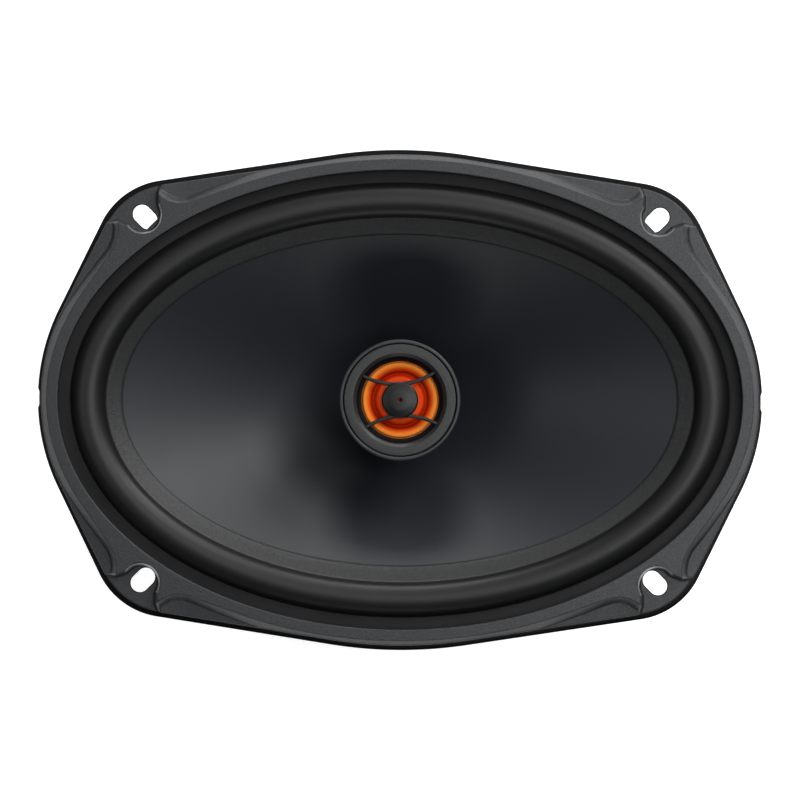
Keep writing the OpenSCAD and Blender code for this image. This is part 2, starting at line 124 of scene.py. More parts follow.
# one quarter of the outline: three arcs (centre, radius) that meet at two angles, in degrees
END_C, END_R = (52.0, 0.0), 66.0
CORNER_C, CORNER_R = (75.1, 46.3), 25.0
SIDE_C, SIDE_R = (0.0, -62.5), 144.0
ANG_1, ANG_2 = 25.8, 81.2
SLOT_C, SLOT_HALF, SLOT_R = (83.4, 59.1), 1.4, 3
POCKET_C, POCKET_R = (83.7, 59.6), 5.7


# ---------------------------------------------------------------- mesh helpers
def finish_mesh(ob, mat, sharp=38, merge=True):
    me = ob.data
    bm = bmesh.new()
    bm.from_mesh(me)
    if merge:
        bmesh.ops.remove_doubles(bm, verts=bm.verts, dist=2e-7)
        bmesh.ops.dissolve_degenerate(bm, edges=bm.edges, dist=1e-8)
    bmesh.ops.recalc_face_normals(bm, faces=bm.faces)
    bm.to_mesh(me)
    bm.free()
    me.polygons.foreach_set("use_smooth", [True] * len(me.polygons))
    me.set_sharp_from_angle(angle=radians(sharp))
    me.materials.clear()
    me.materials.append(mat)
    me.update()


def new_mesh(name, verts, faces, mat, sharp=38, merge=True):
    me = bpy.data.meshes.new(name)
    me.from_pydata([tuple(c * MM for c in v) for v in verts], [], faces)
    ob = bpy.data.objects.new(name, me)
    bpy.context.scene.collection.objects.link(ob)
    finish_mesh(ob, mat, sharp, merge)
    return ob


def grid_faces(rows, cols, wrap_rows, wrap_cols):
    faces = []
    for i in range(rows if wrap_rows else rows - 1):
        k = (i + 1) % rows
        for j in range(cols if wrap_cols else cols - 1):
            m = (j + 1) % cols
            faces.append((i * cols + j, i * cols + m, k * cols + m, k * cols + j))
    return faces


def capped(rows, cols):
    """Faces of a tube of that many sections, closed at both ends."""
    ends = [tuple(range(cols)), tuple((rows - 1) * cols + j for j in range(cols))]
    return grid_faces(rows, cols, False, True) + ends


def turn(rows, segs, centre=(0, 0)):
    """The (r, z) points of a profile at each of segs steps about an upright axis."""
    return [(centre[0] + r * cos(TAU * i / segs), centre[1] + r * sin(TAU * i / segs), z)
            for i in range(segs) for r, z in rows]


def rounded(poly, seg=4):
    """A closed outline of (x, y, radius) corners as points, each corner turned into an arc."""
    out = []
    n = len(poly)
    for i, (x, y, r) in enumerate(poly):
        p = Vector((x, y))
        u = Vector(poly[i - 1][:2]) - p
        v = Vector(poly[(i + 1) % n][:2]) - p
        lu, lv = u.length, v.length
        u.normalize()
        v.normalize()
        ang = acos(max(-1, min(1, u.dot(v))))
        if r <= 0 or ang > pi - 0.03 or ang < 0.03:
            out.append((x, y))
            continue
        t = min(r / tan(ang / 2), 0.48 * lu, 0.48 * lv)
        rr = t * tan(ang / 2)
        c = p + (u + v).normalized() * (rr / sin(ang / 2))
        s, e = p + u * t - c, p + v * t - c
        a0 = atan2(s.y, s.x)
        da = (atan2(e.y, e.x) - a0 + pi) % TAU - pi
        for k in range(seg + 1):
            a = a0 + da * k / seg
            out.append((c.x + rr * cos(a), c.y + rr * sin(a)))
    return out


def lathe(name, poly, mat, segs=144, seg=4, sharp=38, centre=(0, 0)):
    """Turns a closed (r, z, radius) outline about the speaker's axis, or about another centre."""
    prof = rounded(poly, seg)
    on_axis = [r < 1e-6 for r, z in prof]
    m = len(prof)
    faces = [f for f in grid_faces(segs, m, True, True) if not (on_axis[f[0] % m] and on_axis[f[1] % m])]
    return new_mesh(name, turn(prof, segs, centre), faces, mat, sharp)


def quarter(steps):
    return [pi / 2 * k / steps for k in range(steps + 1)]


def oval_loop(thetas, w, z):
    """A loop of points w outside the ring's opening; w and z are one number or one for each angle."""
    return np.stack([(OVAL_A + w) * np.cos(thetas), (OVAL_B + w) * np.sin(thetas),
                     np.broadcast_to(z, thetas.shape)], 1)


def loops_mesh(name, loops, mat):
    """A closed ring of skin through loops of points, the last joined to the first."""
    verts = np.stack(loops, 1).reshape(-1, 3)
    faces = grid_faces(len(loops[0]), len(loops), True, True)
    return new_mesh(name, verts, faces, mat, merge=False)


def rectangle(x, y0, y1, r0, r1):
    """From -x to x and y0 to y1, with corner radius r0 at y0 and r1 at y1."""
    return [(-x, y0, r0), (x, y0, r0), (x, y1, r1), (-x, y1, r1)]


def prism(name, poly, z0, z1, mat, edge=0.15, seg=3, sharp=38):
    """A flat plate with the given closed outline and rounded upper and lower edges."""
    pts = rounded(poly, 5)
    n = len(pts)
    area = sum(pts[i][0] * pts[(i + 1) % n][1] - pts[(i + 1) % n][0] * pts[i][1] for i in range(n))
    sign = 1 if area > 0 else -1

    def inset(d):
        out = []
        for i in range(n):
            a, p, b = Vector(pts[i - 1]), Vector(pts[i]), Vector(pts[(i + 1) % n])
            t = ((p - a).normalized() + (b - p).normalized())
            t = t.normalized() if t.length > 1e-9 else (b - a).normalized()
            out.append((p.x - sign * t.y * d, p.y + sign * t.x * d))
        return out

    rows = [(inset(edge * (1 - sin(a))), z0 + edge * (1 - cos(a))) for a in quarter(seg)]
    rows += [(inset(edge * (1 - cos(a))), z1 - edge * (1 - sin(a))) for a in quarter(seg)]
    verts = [(x, y, z) for row, z in rows for x, y in row]
    return new_mesh(name, verts, capped(len(rows), n), mat, sharp)


def tube(name, points, radius, mat, sides=12, steps=10, twist=None):
    """A round wire through the points, and how far along it each vertex lies, from 0 to 1."""
    pts = [Vector(p) for p in points]
    fine = []
    for i in range(len(pts) - 1):
        p0, p1, p2, p3 = pts[max(i - 1, 0)], pts[i], pts[i + 1], pts[min(i + 2, len(pts) - 1)]
        span = (p2 - p1).length
        m1, m2 = (p2 - p0).normalized() * span, (p3 - p1).normalized() * span
        for k in range(steps):
            t = k / steps
            fine.append(p1 * (2 * t ** 3 - 3 * t * t + 1) + m1 * (t ** 3 - 2 * t * t + t)
                        + p2 * (3 * t * t - 2 * t ** 3) + m2 * (t ** 3 - t * t))
    fine.append(pts[-1])
    up = Vector((1, 0, 0.01)).normalized()
    verts, ring_of = [], []
    n = len(fine)
    for i, p in enumerate(fine):
        d = (fine[min(i + 1, n - 1)] - fine[max(i - 1, 0)]).normalized()
        side = up - d * up.dot(d)
        side.normalize()
        up = side
        other = d.cross(side)
        for j in range(sides):
            a = TAU * j / sides
            r = radius * (twist(i, a) if twist else 1)
            verts.append(p + (side * cos(a) + other * sin(a)) * r)
            ring_of.append(i / (n - 1))
    return new_mesh(name, verts, capped(n, sides), mat, 50, merge=False), ring_of


def cut(ob, cutters, mat):
    """Takes the cutters' volumes out of a mesh and removes them."""
    for c in cutters:
        m = ob.modifiers.new("cut", "BOOLEAN")
        m.object, m.operation, m.solver = c, "DIFFERENCE", "EXACT"
    bpy.context.view_layer.update()
    me = bpy.data.meshes.new_from_object(ob.evaluated_get(bpy.context.evaluated_depsgraph_get()))
    ob.modifiers.clear()
    old, ob.data = ob.data, me
    bpy.data.meshes.remove(old)
    for c in cutters:
        bpy.data.objects.remove(c)
    finish_mesh(ob, mat, 38, merge=False)
    return ob


def joined(name, parts):
    """One object from several that share a material."""
    bm = bmesh.new()
    for p in parts:
        bm.from_mesh(p.data)
    me = bpy.data.meshes.new(name)
    bm.to_mesh(me)
    bm.free()
    for m in parts[0].data.materials:
        me.materials.append(m)
    for p in parts:
        bpy.data.objects.remove(p)
    ob = bpy.data.objects.new(name, me)
    bpy.context.scene.collection.objects.link(ob)
    me.set_sharp_from_angle(angle=radians(38))
    return ob


def smooth(t):
    t = np.clip(t, 0, 1)
    return t * t * (3 - 2 * t)


def bend(piece, b, start, end, weights, node):
    """Blends a piece from the frame to b, with a weight for each vertex: 0 on the frame, 1 on b."""
    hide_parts(node)
    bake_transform(piece, "frame", b, start=start, end=end)
    att = piece.data.attributes["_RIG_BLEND"]
    att.data.foreach_set("value", [float(x) for x in weights])


def ride(ob, body, slot, *nodes):
    """Fixes a piece to a body and hides the CAD nodes that it stands for; slot is not used."""
    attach(ob, body)
    if nodes:
        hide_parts(*nodes)


# ---------------------------------------------------------------- materials
def node(tree, kind, **values):
    n = tree.nodes.new(kind)
    for k, v in values.items():
        if k in n.inputs:
            n.inputs[k].default_value = v
        else:
            setattr(n, k, v)
    return n


def ramp(tree, source, stops):
    r = tree.nodes.new("ShaderNodeValToRGB")
    e = r.color_ramp.elements
    while len(e) < len(stops):
        e.new(0.5)
    for el, (pos, col) in zip(e, stops):
        el.position = pos
        el.color = (*col, 1) if not isinstance(col, (int, float)) else (col, col, col, 1)
    tree.links.new(source, r.inputs["Fac"])
    return r.outputs["Color"]


def shade(c, k):
    return tuple(x * k for x in c)


def material(name, base, rough, grain, bump, mottle, vary=0.12, metal=0.0, rough_vary=0.06, coat=0.0,
             specular=0.5, extra=None, edge_wear_and_highlight=0.0, aniso=0.0, sheen=0.0, spread=0.2, tint=(1, 1, 1)):
    """A procedural surface: fine grain in a bump given in mm, and slow mottling in its colour.

    grain and mottle are texture scales, and vary is how far the colour strays from base.
    """
    m = bpy.data.materials.new(name)
    m.use_nodes = True
    t = m.node_tree
    t.nodes.clear()
    out = t.nodes.new("ShaderNodeOutputMaterial")
    p = t.nodes.new("ShaderNodeBsdfPrincipled")
    t.links.new(p.outputs[0], out.inputs["Surface"])
    for key, value in (("Metallic", metal), ("Coat Weight", coat), ("Coat Roughness", 0.2),
                       ("Specular IOR Level", specular), ("Anisotropic", aniso),
                       ("Sheen Weight", sheen), ("Specular Tint", (*tint, 1))):
        p.inputs[key].default_value = value
    co = t.nodes.new("ShaderNodeTexCoord").outputs["Object"]
    slow = node(t, "ShaderNodeTexNoise", Scale=mottle, Detail=4.0, Roughness=0.6)
    fine = node(t, "ShaderNodeTexNoise", Scale=grain, Detail=3.0, Roughness=0.65)
    for n in (slow, fine):
        t.links.new(co, n.inputs["Vector"])
    mixed = node(t, "ShaderNodeMix", data_type="FLOAT")
    mixed.inputs[0].default_value = 0.5
    t.links.new(slow.outputs["Fac"], mixed.inputs[2])
    t.links.new(fine.outputs["Fac"], mixed.inputs[3])
    colour = ramp(t, mixed.outputs[0], [(0.5 - spread, shade(base, 1 - vary)),
                                        (0.5 + spread, shade(base, 1 + vary))])
    # paler colour on sharp convex edges, found by Pointiness: part edge wear, part painted highlight
    if edge_wear_and_highlight:
        geo = t.nodes.new("ShaderNodeNewGeometry")
        edge = ramp(t, geo.outputs["Pointiness"], [(0.52, 0.0), (0.6, 1.0)])
        mx = node(t, "ShaderNodeMix", data_type="RGBA")
        lit = t.nodes.new("ShaderNodeMath")
        lit.operation = "MULTIPLY"
        t.links.new(edge, lit.inputs[0])
        lit.inputs[1].default_value = edge_wear_and_highlight
        t.links.new(lit.outputs[0], mx.inputs[0])
        t.links.new(colour, mx.inputs[6])
        mx.inputs[7].default_value = (*[min(1, 0.08 + 1.6 * c) for c in base], 1)
        colour = mx.outputs[2]
    t.links.new(colour, p.inputs["Base Color"])
    t.links.new(ramp(t, mixed.outputs[0], [(0.3, rough + rough_vary), (0.7, rough - rough_vary)]),
                p.inputs["Roughness"])
    height = fine.outputs["Fac"]
    if extra:
        height = extra(t, co, height, p)
    b = node(t, "ShaderNodeBump", Distance=bump * MM)
    b.inputs["Strength"].default_value = 1.0
    t.links.new(height, b.inputs["Height"])
    t.links.new(b.outputs["Normal"], p.inputs["Normal"])
    return m


def math_node(t, op, a, b=None):
    n = t.nodes.new("ShaderNodeMath")
    n.operation = op
    for i, v in enumerate((a, b)):
        if v is None:
            continue
        if isinstance(v, (int, float)):
            n.inputs[i].default_value = v
        else:
            t.links.new(v, n.inputs[i])
    return n.outputs[0]


def wave_node(t, co, pitch, distortion):
    """A wave texture that repeats every pitch millimetres."""
    w = node(t, "ShaderNodeTexWave", Scale=TAU / (20 * pitch * MM), Distortion=distortion)
    t.links.new(co, w.inputs["Vector"])
    return w


def rings(t, co, pitch, distortion):
    w = wave_node(t, co, pitch, distortion)
    w.wave_type = "RINGS"
    w.rings_direction = "Z"
    return w.outputs["Fac"]


def weave(pitch):
    """Crossed threads, in the bump."""
    def add(t, co, height, p):
        waves = []
        for d in ("X", "Y"):
            w = wave_node(t, co, pitch, 0.4)
            w.bands_direction = d
            w.inputs["Detail Scale"].default_value = 2.0
            waves.append(w.outputs["Fac"])
        cross = math_node(t, "MAXIMUM", waves[0], waves[1])
        return math_node(t, "ADD", cross, math_node(t, "MULTIPLY", height, 0.4))
    return add


def turned(pitch):
    """Fine rings left by a lathe, about the speaker's axis."""
    def add(t, co, height, p):
        return math_node(t, "ADD", math_node(t, "MULTIPLY", rings(t, co, pitch, 0.15), 0.5), height)
    return add


RING = material("ring_moulding", (0.022, 0.0238, 0.027), 0.37, 1700, 0.1, 1100, 0.3, rough_vary=0.08,
                spread=0.1)
STEEL_BLACK = material("black_powder_coat", (0.004, 0.004, 0.0044), 0.3, 1400, 0.012, 90, 0.2,
                       rough_vary=0.05, specular=0.12)
RUBBER = material("surround_rubber", (0.008, 0.0082, 0.0086), 0.43, 2600, 0.01, 45, rough_vary=0.04,
                  specular=0.42)
# a darker, duller copy of the rubber for the flat band under the ring's inner wall: painted shade
RUBBER_BAND_SHADE = material("surround_band_painted_shade", (0.0075, 0.0075, 0.0078), 0.6, 1800, 0.02, 60, 0.15,
                         specular=0.35)
RUBBER_LIP = material("surround_inner_lip", (0.0195, 0.0202, 0.0212), 0.48, 1700, 0.1, 1000, 0.3,
                      rough_vary=0.08, spread=0.1)
CONE = material("cone_polypropylene", (0.0155, 0.0177, 0.0222), 0.45, 1500, 0.004, 25, 0.08,
                rough_vary=0.04)
CLOTH = material("spider_cloth", (0.5, 0.34, 0.12), 0.75, 2500, 0.12, 80, 0.22, extra=weave(0.7),
                 sheen=0.3)
ZINC = material("zinc_steel", (0.32, 0.325, 0.335), 0.4, 1800, 0.008, 70, 0.1, metal=1.0,
                extra=turned(0.5), aniso=0.3)
# the ferrite's edges are painted paler: part edge wear, part painted highlight
FERRITE = material("ground_ferrite", (0.05, 0.05, 0.053), 0.5, 1100, 0.05, 120, 0.25, extra=turned(0.9),
                   edge_wear_and_highlight=0.2)
SATIN = material("satin_black_plastic", (0.02, 0.0205, 0.022), 0.4, 2600, 0.01, 120, 0.1)
HOUSING = material("tweeter_housing_plastic", (0.02, 0.021, 0.023), 0.42, 2400, 0.014, 110)
FACE = material("tweeter_face_plastic", (0.019, 0.0198, 0.0212), 0.42, 1900, 0.07, 1200, 0.25,
                rough_vary=0.08, spread=0.1)
# near-black plastic for the bezel's deep inner step: painted shade
LIP_PAINTED_SHADE = material("tweeter_inner_lip_painted_shade", (0.0025, 0.0025, 0.0027), 0.6, 2200, 0.02, 300, 0.2,
                     specular=0.15)
CAP = material("tweeter_guard_plastic", (0.0065, 0.0065, 0.007), 0.34, 2400, 0.008, 200, 0.15,
               specular=0.36)


def film_colour_with_painted_shade(t, co, height, p):
    """The moulded film: orange outer roll, deep red valley, red-orange at the coil; the valley's deep red is
    painted shade, and the outer roll's paler orange is a painted highlight.
    """
    flat = node(t, "ShaderNodeVectorMath", operation="MULTIPLY")
    flat.inputs[1].default_value = (1, 1, 0)
    t.links.new(co, flat.inputs[0])
    away = node(t, "ShaderNodeVectorMath", operation="LENGTH")
    t.links.new(flat.outputs[0], away.inputs[0])
    share = math_node(t, "DIVIDE", away.outputs["Value"], 12.5 * MM)
    # colour by distance from the axis: darkest in the valley as painted shade, palest on the outer roll as
    # painted highlight
    tint = ramp(t, share, [(0.44, (0.5, 0.03, 0.004)), (0.52, (1.0, 0.12, 0.035)),
                           (0.58, (1.0, 0.08, 0.01)), (0.65, (0.38, 0.008, 0.001)),
                           (0.74, (0.24, 0.004, 0.001)), (0.82, (0.95, 0.11, 0.01)),
                           (0.89, (1.0, 0.3, 0.045)), (1.0, (1.0, 0.28, 0.045))])
    t.links.new(tint, p.inputs["Base Color"])
    return math_node(t, "ADD", math_node(t, "MULTIPLY", rings(t, co, 0.55, 0.0), 0.8), height)


ORANGE = material("orange_film", (0.95, 0.12, 0.012), 0.34, 1500, 0.02, 160, 0.1, specular=0.8,
                  extra=film_colour_with_painted_shade, tint=(1, 0.14, 0.02))
NICKEL = material("nickel_plate", (0.68, 0.67, 0.64), 0.2, 900, 0.003, 80, 0.06, metal=1.0)
BOARD = material("brown_laminate", (0.13, 0.055, 0.022), 0.55, 1300, 0.03, 260, 0.25, extra=weave(0.45))
BRASS = material("tinned_brass", (0.72, 0.66, 0.5), 0.3, 1500, 0.006, 150, metal=1.0)
SLEEVE = material("capacitor_sleeve", (0.012, 0.02, 0.075), 0.25, 700, 0.012, 90, coat=0.4)
ALU = material("drawn_aluminium", (0.7, 0.7, 0.71), 0.3, 1500, 0.006, 100, 0.08, metal=1.0)
WIRE = material("wire_insulation", (0.3, 0.018, 0.014), 0.4, 1500, 0.01, 200, 0.15)
WIRE_DARK = material("wire_insulation_dark", (0.012, 0.012, 0.013), 0.42, 1500, 0.01, 200, 0.15)
TINSEL = material("tinsel_braid", (0.62, 0.34, 0.17), 0.4, 3500, 0.08, 500, 0.3, metal=0.7)
FILM = material("amber_film", (0.42, 0.17, 0.03), 0.3, 1500, 0.006, 100, coat=0.3)
COPPER = material("enamelled_copper", (0.72, 0.27, 0.1), 0.3, 2500, 0.01, 200, 0.15, metal=1.0)
GLUE = material("cured_glue", (0.33, 0.26, 0.13), 0.35, 800, 0.04, 300, 0.2, coat=0.3)


# ---------------------------------------------------------------- camera, floor, light
scene = bpy.context.scene
scene.view_settings.view_transform = "Standard"
cam_data = bpy.data.cameras.new("camera")
cam = bpy.data.objects.new("camera", cam_data)
scene.collection.objects.link(cam)
CAM_HEIGHT, RIM_HEIGHT = 1.5, 0.003       # metres, as are the rest of this section's lengths
FRAME_WIDTH = 0.2602                      # what the picture spans at the rim's height
SENSOR = 36
cam.location = (0, 0, CAM_HEIGHT)
cam.rotation_euler = (0, 0, radians(0.35))
cam_data.sensor_width = SENSOR
cam_data.lens = SENSOR * (CAM_HEIGHT - RIM_HEIGHT) / FRAME_WIDTH
cam_data.clip_start = 0.05
scene.camera = cam

bpy.ops.mesh.primitive_plane_add(size=6, location=(0, 0, CAD_BOX[0][2] - 0.0002))
floor = bpy.context.active_object
floor.name = "floor"
pale = bpy.data.materials.new("pale_floor")
pale.use_nodes = True
for key, value in (("Base Color", (0.9, 0.9, 0.9, 1)), ("Roughness", 0.9),
                   ("Emission Color", (1, 1, 1, 1)), ("Emission Strength", 0.8)):
    pale.node_tree.nodes["Principled BSDF"].inputs[key].default_value = value
floor.data.materials.append(pale)

world = bpy.data.worlds.new("studio")
world.use_nodes = True
world.node_tree.nodes["Background"].inputs["Color"].default_value = (0.93, 0.96, 1, 1)
world.node_tree.nodes["Background"].inputs["Strength"].default_value = 0.03
scene.world = world


LIGHT_REACH = 1.3


def studio(name, elevation, azimuth, size, watts):
    """A square softbox aimed at the speaker; azimuth 0 is the right end, 90 the top edge."""
    lamp = bpy.data.lights.new(name, "AREA")
    lamp.shape = "RECTANGLE"
    lamp.size = lamp.size_y = size
    lamp.energy = watts
    ob = bpy.data.objects.new(name, lamp)
    scene.collection.objects.link(ob)
    e, a = radians(elevation), radians(azimuth)
    ob.location = (LIGHT_REACH * cos(e) * cos(a), LIGHT_REACH * cos(e) * sin(a),
                   LIGHT_REACH * sin(e))
    ob.rotation_euler = (-ob.location).to_track_quat("-Z", "Y").to_euler()


studio("key", 44, 45, 0.6, 6)
studio("back", 34, 80, 0.6, 1.8)
studio("overhead", 75, 0, 0.5, 4)
studio("overhead_back", 72, 100, 0.5, 1)
studio("fill_left", 55, 180, 0.6, 1.5)
studio("fill_back_left", 50, 135, 0.6, 0.4)
studio("rim_right", 12, 50, 0.45, 6)
studio("rim_back", 12, 90, 0.45, 5)
studio("fill_front", 14, 268, 0.6, 2)


# ---------------------------------------------------------------- plan of the flange
def arc(c, r, a0, a1, n):
    """n + 1 points on an arc about c, between two angles in degrees."""
    return [(c[0] + r * cos(radians(a0 + (a1 - a0) * i / n)),
             c[1] + r * sin(radians(a0 + (a1 - a0) * i / n))) for i in range(n + 1)]


def outline(inset):
    """The flange's whole outline, moved inwards by inset."""
    q = (arc(END_C, END_R - inset, 0, ANG_1, 24) + arc(CORNER_C, CORNER_R - inset, ANG_1, ANG_2, 40)
         + arc(SIDE_C, SIDE_R - inset, ANG_2, 90, 16))
    left = [(-x, y) for x, y in reversed(q)]
    return np.array(q + left + [(-x, -y) for x, y in q] + [(x, -y) for x, y in reversed(q)])


def reach_to(poly, thetas):
    """How far each ray of the oval family runs from the opening to the outline."""
    a, b = poly, np.roll(poly, -1, axis=0)
    keep = np.linalg.norm(b - a, axis=1) > 1e-6
    a, b = a[keep], b[keep]
    out = []
    for th in thetas:
        d = np.array([cos(th), sin(th)])
        p = np.array([OVAL_A * d[0], OVAL_B * d[1]])
        e = b - a
        den = d[0] * e[:, 1] - d[1] * e[:, 0]
        den = np.where(abs(den) < 1e-12, 1e-12, den)
        q = a - p
        t = (q[:, 0] * e[:, 1] - q[:, 1] * e[:, 0]) / den
        s = (q[:, 0] * d[1] - q[:, 1] * d[0]) / den
        ok = (s >= -1e-9) & (s <= 1 + 1e-9) & (t > 0)
        out.append(t[ok].min())
    return np.array(out)


def columns(coarse, finer):
    """Angles round the oval, close together in the corners."""
    q = []
    a = 0.0
    while a < 90 - 1e-6:
        q.append(a)
        a += finer if 16 <= a < 68 else coarse
    full = q + [90.0] + [180 - x for x in reversed(q)]
    full += [180 + x for x in q[1:]] + [270.0] + [360 - x for x in reversed(q[1:])]
    return np.radians(np.array(full))


def slot_cutters(grow, z0, z1, square=0):
    """The four screw slots; square cuts the upper two short at their inner ends."""
    out = []
    for sx in (1, -1):
        for sy in (1, -1):
            pts = arc((SLOT_HALF, 0), SLOT_R + grow, -90, 90, 48)
            pts += [(-x, -y) for x, y in pts]
            if square and sy > 0:
                inner = -(SLOT_HALF + SLOT_R - square)
                pts = [(max(x, inner), y) for x, y in pts]
                pts = [p for k, p in enumerate(pts) if p[0] > inner or not (
                    pts[k - 1][0] == inner and pts[(k + 1) % len(pts)][0] == inner)]
            c = sqrt(0.5)
            world_pts = [((SLOT_C[0] + (x - y) * c) * sx, (SLOT_C[1] + (x + y) * c) * sy)
                         for x, y in pts]
            n = len(world_pts)
            verts = [(x, y, z) for z in (z0, z1) for x, y in world_pts]
            out.append(new_mesh(f"slot_{sx}_{sy}", verts, capped(2, n), RING))
    return out


def poly_distance(poly, x, y):
    """Signed distance to a closed polygon, negative inside, for arrays of points."""
    poly = np.array(poly, float)
    best = np.full(x.shape, 1e9)
    inside = np.zeros(x.shape, bool)
    for i in range(len(poly)):
        ax, ay = poly[i - 1]
        bx, by = poly[i]
        ex, ey = bx - ax, by - ay
        t = np.clip(((x - ax) * ex + (y - ay) * ey) / (ex * ex + ey * ey), 0, 1)
        best = np.minimum(best, np.hypot(x - ax - t * ex, y - ay - t * ey))
        crosses = ((ay > y) != (by > y)) & (x < (bx - ax) * (y - ay) / (by - ay + 1e-12) + ax)
        inside ^= crosses
    return np.where(inside, -best, best)


def smin(a, b, k):
    """The smaller of two distances, blended over k where they are close."""
    h = np.clip(0.5 + 0.5 * (b - a) / k, 0, 1)
    return b * (1 - h) + a * h - k * h * (1 - h)


# ---------------------------------------------------------------- moulded ring
# corners in one quarter: the facet's edge beside a slot, and the pocket round the slot
HORN = [(60, 50), (80, 36), (106.5, 27), (98.2, 40.8), (96.1, 44.3), (93.6, 48.0), (92.2, 51.4),
        (91.7, 54.6), (91.9, 57.8), (84, 61), (79.0, 66.6), (77.0, 65.2), (74.9, 64.1), (72.4, 63.5),
        (69.3, 63.7), (65.4, 64.7), (50, 68.6)]
POCKET = [POCKET_C, (POCKET_C[0] + 4.7, POCKET_C[1] - 3.23), (92.0, 57.8), (94.9, 57.3), (104, 62),
          (90, 82), (74, 76), (77.9, 69.6), (79.0, 66.7), (POCKET_C[0] - 4.7, POCKET_C[1] + 3.23)]
RING_LEAF = RING_TOP - 2.8                # level of the facets
RING_FLOOR = 2.1                          # level of the pockets
RING_BAND = 3.6                           # width of the raised band round the opening
RING_BORE = 2.05                          # where the opening's wall ends
RING_INSET = 1.4                          # from the steel's edge, with SIDE_INSET more at the sides
SIDE_INSET = 0.45


def kink(x, r):
    """0 below zero and x above it, with the bend rounded over r each way."""
    return np.where(x < -r, 0, np.where(x > r, x, (x + r) ** 2 / (4 * r)))


def ring_height(x, y, w):
    """Height of the ring's face at (x, y), which lies w outside the opening."""
    x, y = abs(x), abs(y)
    d = smin(w - RING_BAND, poly_distance(HORN, x, y), 1.6)
    centre = np.hypot(x - POCKET_C[0], y - POCKET_C[1])
    wide = 2.3 - 0.5 * smooth((26 - centre) / 12)
    drop = (kink(d, 0.16) - kink(d - wide, 0.16)) / wide
    z = RING_TOP - (RING_TOP - RING_LEAF) * drop
    z = z - 0.05 * kink(d - wide - 0.3, 0.2)
    pit = np.minimum(centre - POCKET_R, poly_distance(POCKET, x, y))
    wall = (kink(0.45 - pit, 0.2) - kink(-0.45 - pit, 0.2)) / 0.9
    return z + (RING_FLOOR - z) * wall


def make_ring():
    thetas = columns(0.75, 0.16)
    far = reach_to(outline(RING_INSET), thetas)
    far_x = np.abs((OVAL_A + far) * np.cos(thetas))
    far = far - SIDE_INSET * smooth((107 - far_x) / 12)
    rows = 92
    s = np.linspace(0, 1, rows)
    c, sn = np.cos(thetas)[:, None], np.sin(thetas)[:, None]
    w = 0.34 + (far[:, None] - 0.34 - 0.3) * s[None, :]
    x, y = (OVAL_A + w) * c, (OVAL_B + w) * sn
    z = ring_height(x, y, w)
    first, last = z[:, 0], z[:, -1]
    edge = [(0.0, RING_BORE), (0.0, first - 0.34), (0.03, first - 0.2), (0.1, first - 0.09),
            (0.2, first - 0.02)]
    skirt = [(far - 0.16, last - 0.04), (far - 0.05, last - 0.14), (far, last - 0.32), (far, SEAT),
             (1.6, SEAT), (1.6, RING_BORE)]
    loops = [oval_loop(thetas, *at) for at in edge]
    loops += [np.stack([x[:, j], y[:, j], z[:, j]], 1) for j in range(rows)]
    loops += [oval_loop(thetas, *at) for at in skirt]
    ob = loops_mesh("ring_moulding", loops, RING)
    return cut(ob, slot_cutters(0.3, SEAT - 0.5, RING_TOP + 1, square=1.1), RING)


ride(make_ring(), "frame", "ring_plastic", "trim_ring")


# ---------------------------------------------------------------- basket
SKIRT_IN, SKIRT_OUT = -4, -2.8            # the skirt's faces, as offsets from the opening
BEND_IN, BEND_OUT = 1.9, 0.7              # radii of the bend between skirt and flange


def make_flange():
    thetas = columns(0.75, 0.6)
    far = reach_to(outline(0), thetas)
    notch = (np.abs((OVAL_B + far) * np.sin(thetas)) < 3) & (np.abs(np.cos(thetas)) > 0.9)
    far = np.where(notch, far - 0.45, far)
    t = SHEET
    bend_end = SKIRT_IN + BEND_IN
    rim = far - 0.3
    rows = [(SKIRT_IN + BEND_IN * (1 - cos(a)), t - BEND_IN + BEND_IN * sin(a))
            for a in quarter(6)]
    rows += [(bend_end + (rim - bend_end) * (k + 1) / 9, t) for k in range(9)]
    rows += [(rim + 0.3 * sin(pi * k / 7), t / 2 + t / 2 * cos(pi * k / 7))
             for k in range(1, 7)]
    rows += [(rim + (bend_end - rim) * k / 9, 0) for k in range(9)]
    rows += [(SKIRT_OUT + BEND_OUT * (1 - sin(a)), BEND_OUT * (cos(a) - 1))
             for a in quarter(6)]
    rows += [(SKIRT_OUT, -3), (SKIRT_OUT, -6.6), (-2.95, -6.9), (-3.4, -7.0), (-3.85, -6.9),
             (SKIRT_IN, -6.6), (SKIRT_IN, -3)]
    ob = loops_mesh("basket_flange", [oval_loop(thetas, *at) for at in rows], STEEL_BLACK)
    return cut(ob, slot_cutters(0, -2, SEAT + 0.6), STEEL_BLACK)


# the bowl that the legs lie on: half axes and height at its upper and lower ends
LEG_TOP = (OVAL_A - 3.4, OVAL_B - 3.4, -5.0)
LEG_END = (LANDING_R - 0.6, LANDING_R - 0.6, LANDING_Z - 0.7)


def bowl(t, theta, d):
    """A point of the bowl: t runs from the skirt to the landing, d out from its inner face."""
    a = LEG_TOP[0] + (LEG_END[0] - LEG_TOP[0]) * t
    b = LEG_TOP[1] + (LEG_END[1] - LEG_TOP[1]) * t
    z = LEG_TOP[2] + (LEG_END[2] - LEG_TOP[2]) * (1 - (1 - t) ** 1.5)
    dr = (LEG_END[0] - LEG_TOP[0]) * 0.7
    dz = (LEG_END[2] - LEG_TOP[2]) * 1.5 * sqrt(max(1 - t, 0))
    n = hypot(dr, dz)
    return ((a - d * dz / n) * cos(theta), (b - d * dz / n) * sin(theta), z + d * dr / n)


LEG_FROM, LEG_TO = 0.13, 0.9              # between these shares of its length a leg doesn't flare
LEG_FLARE = 22.4                          # half its width at the ends, in degrees


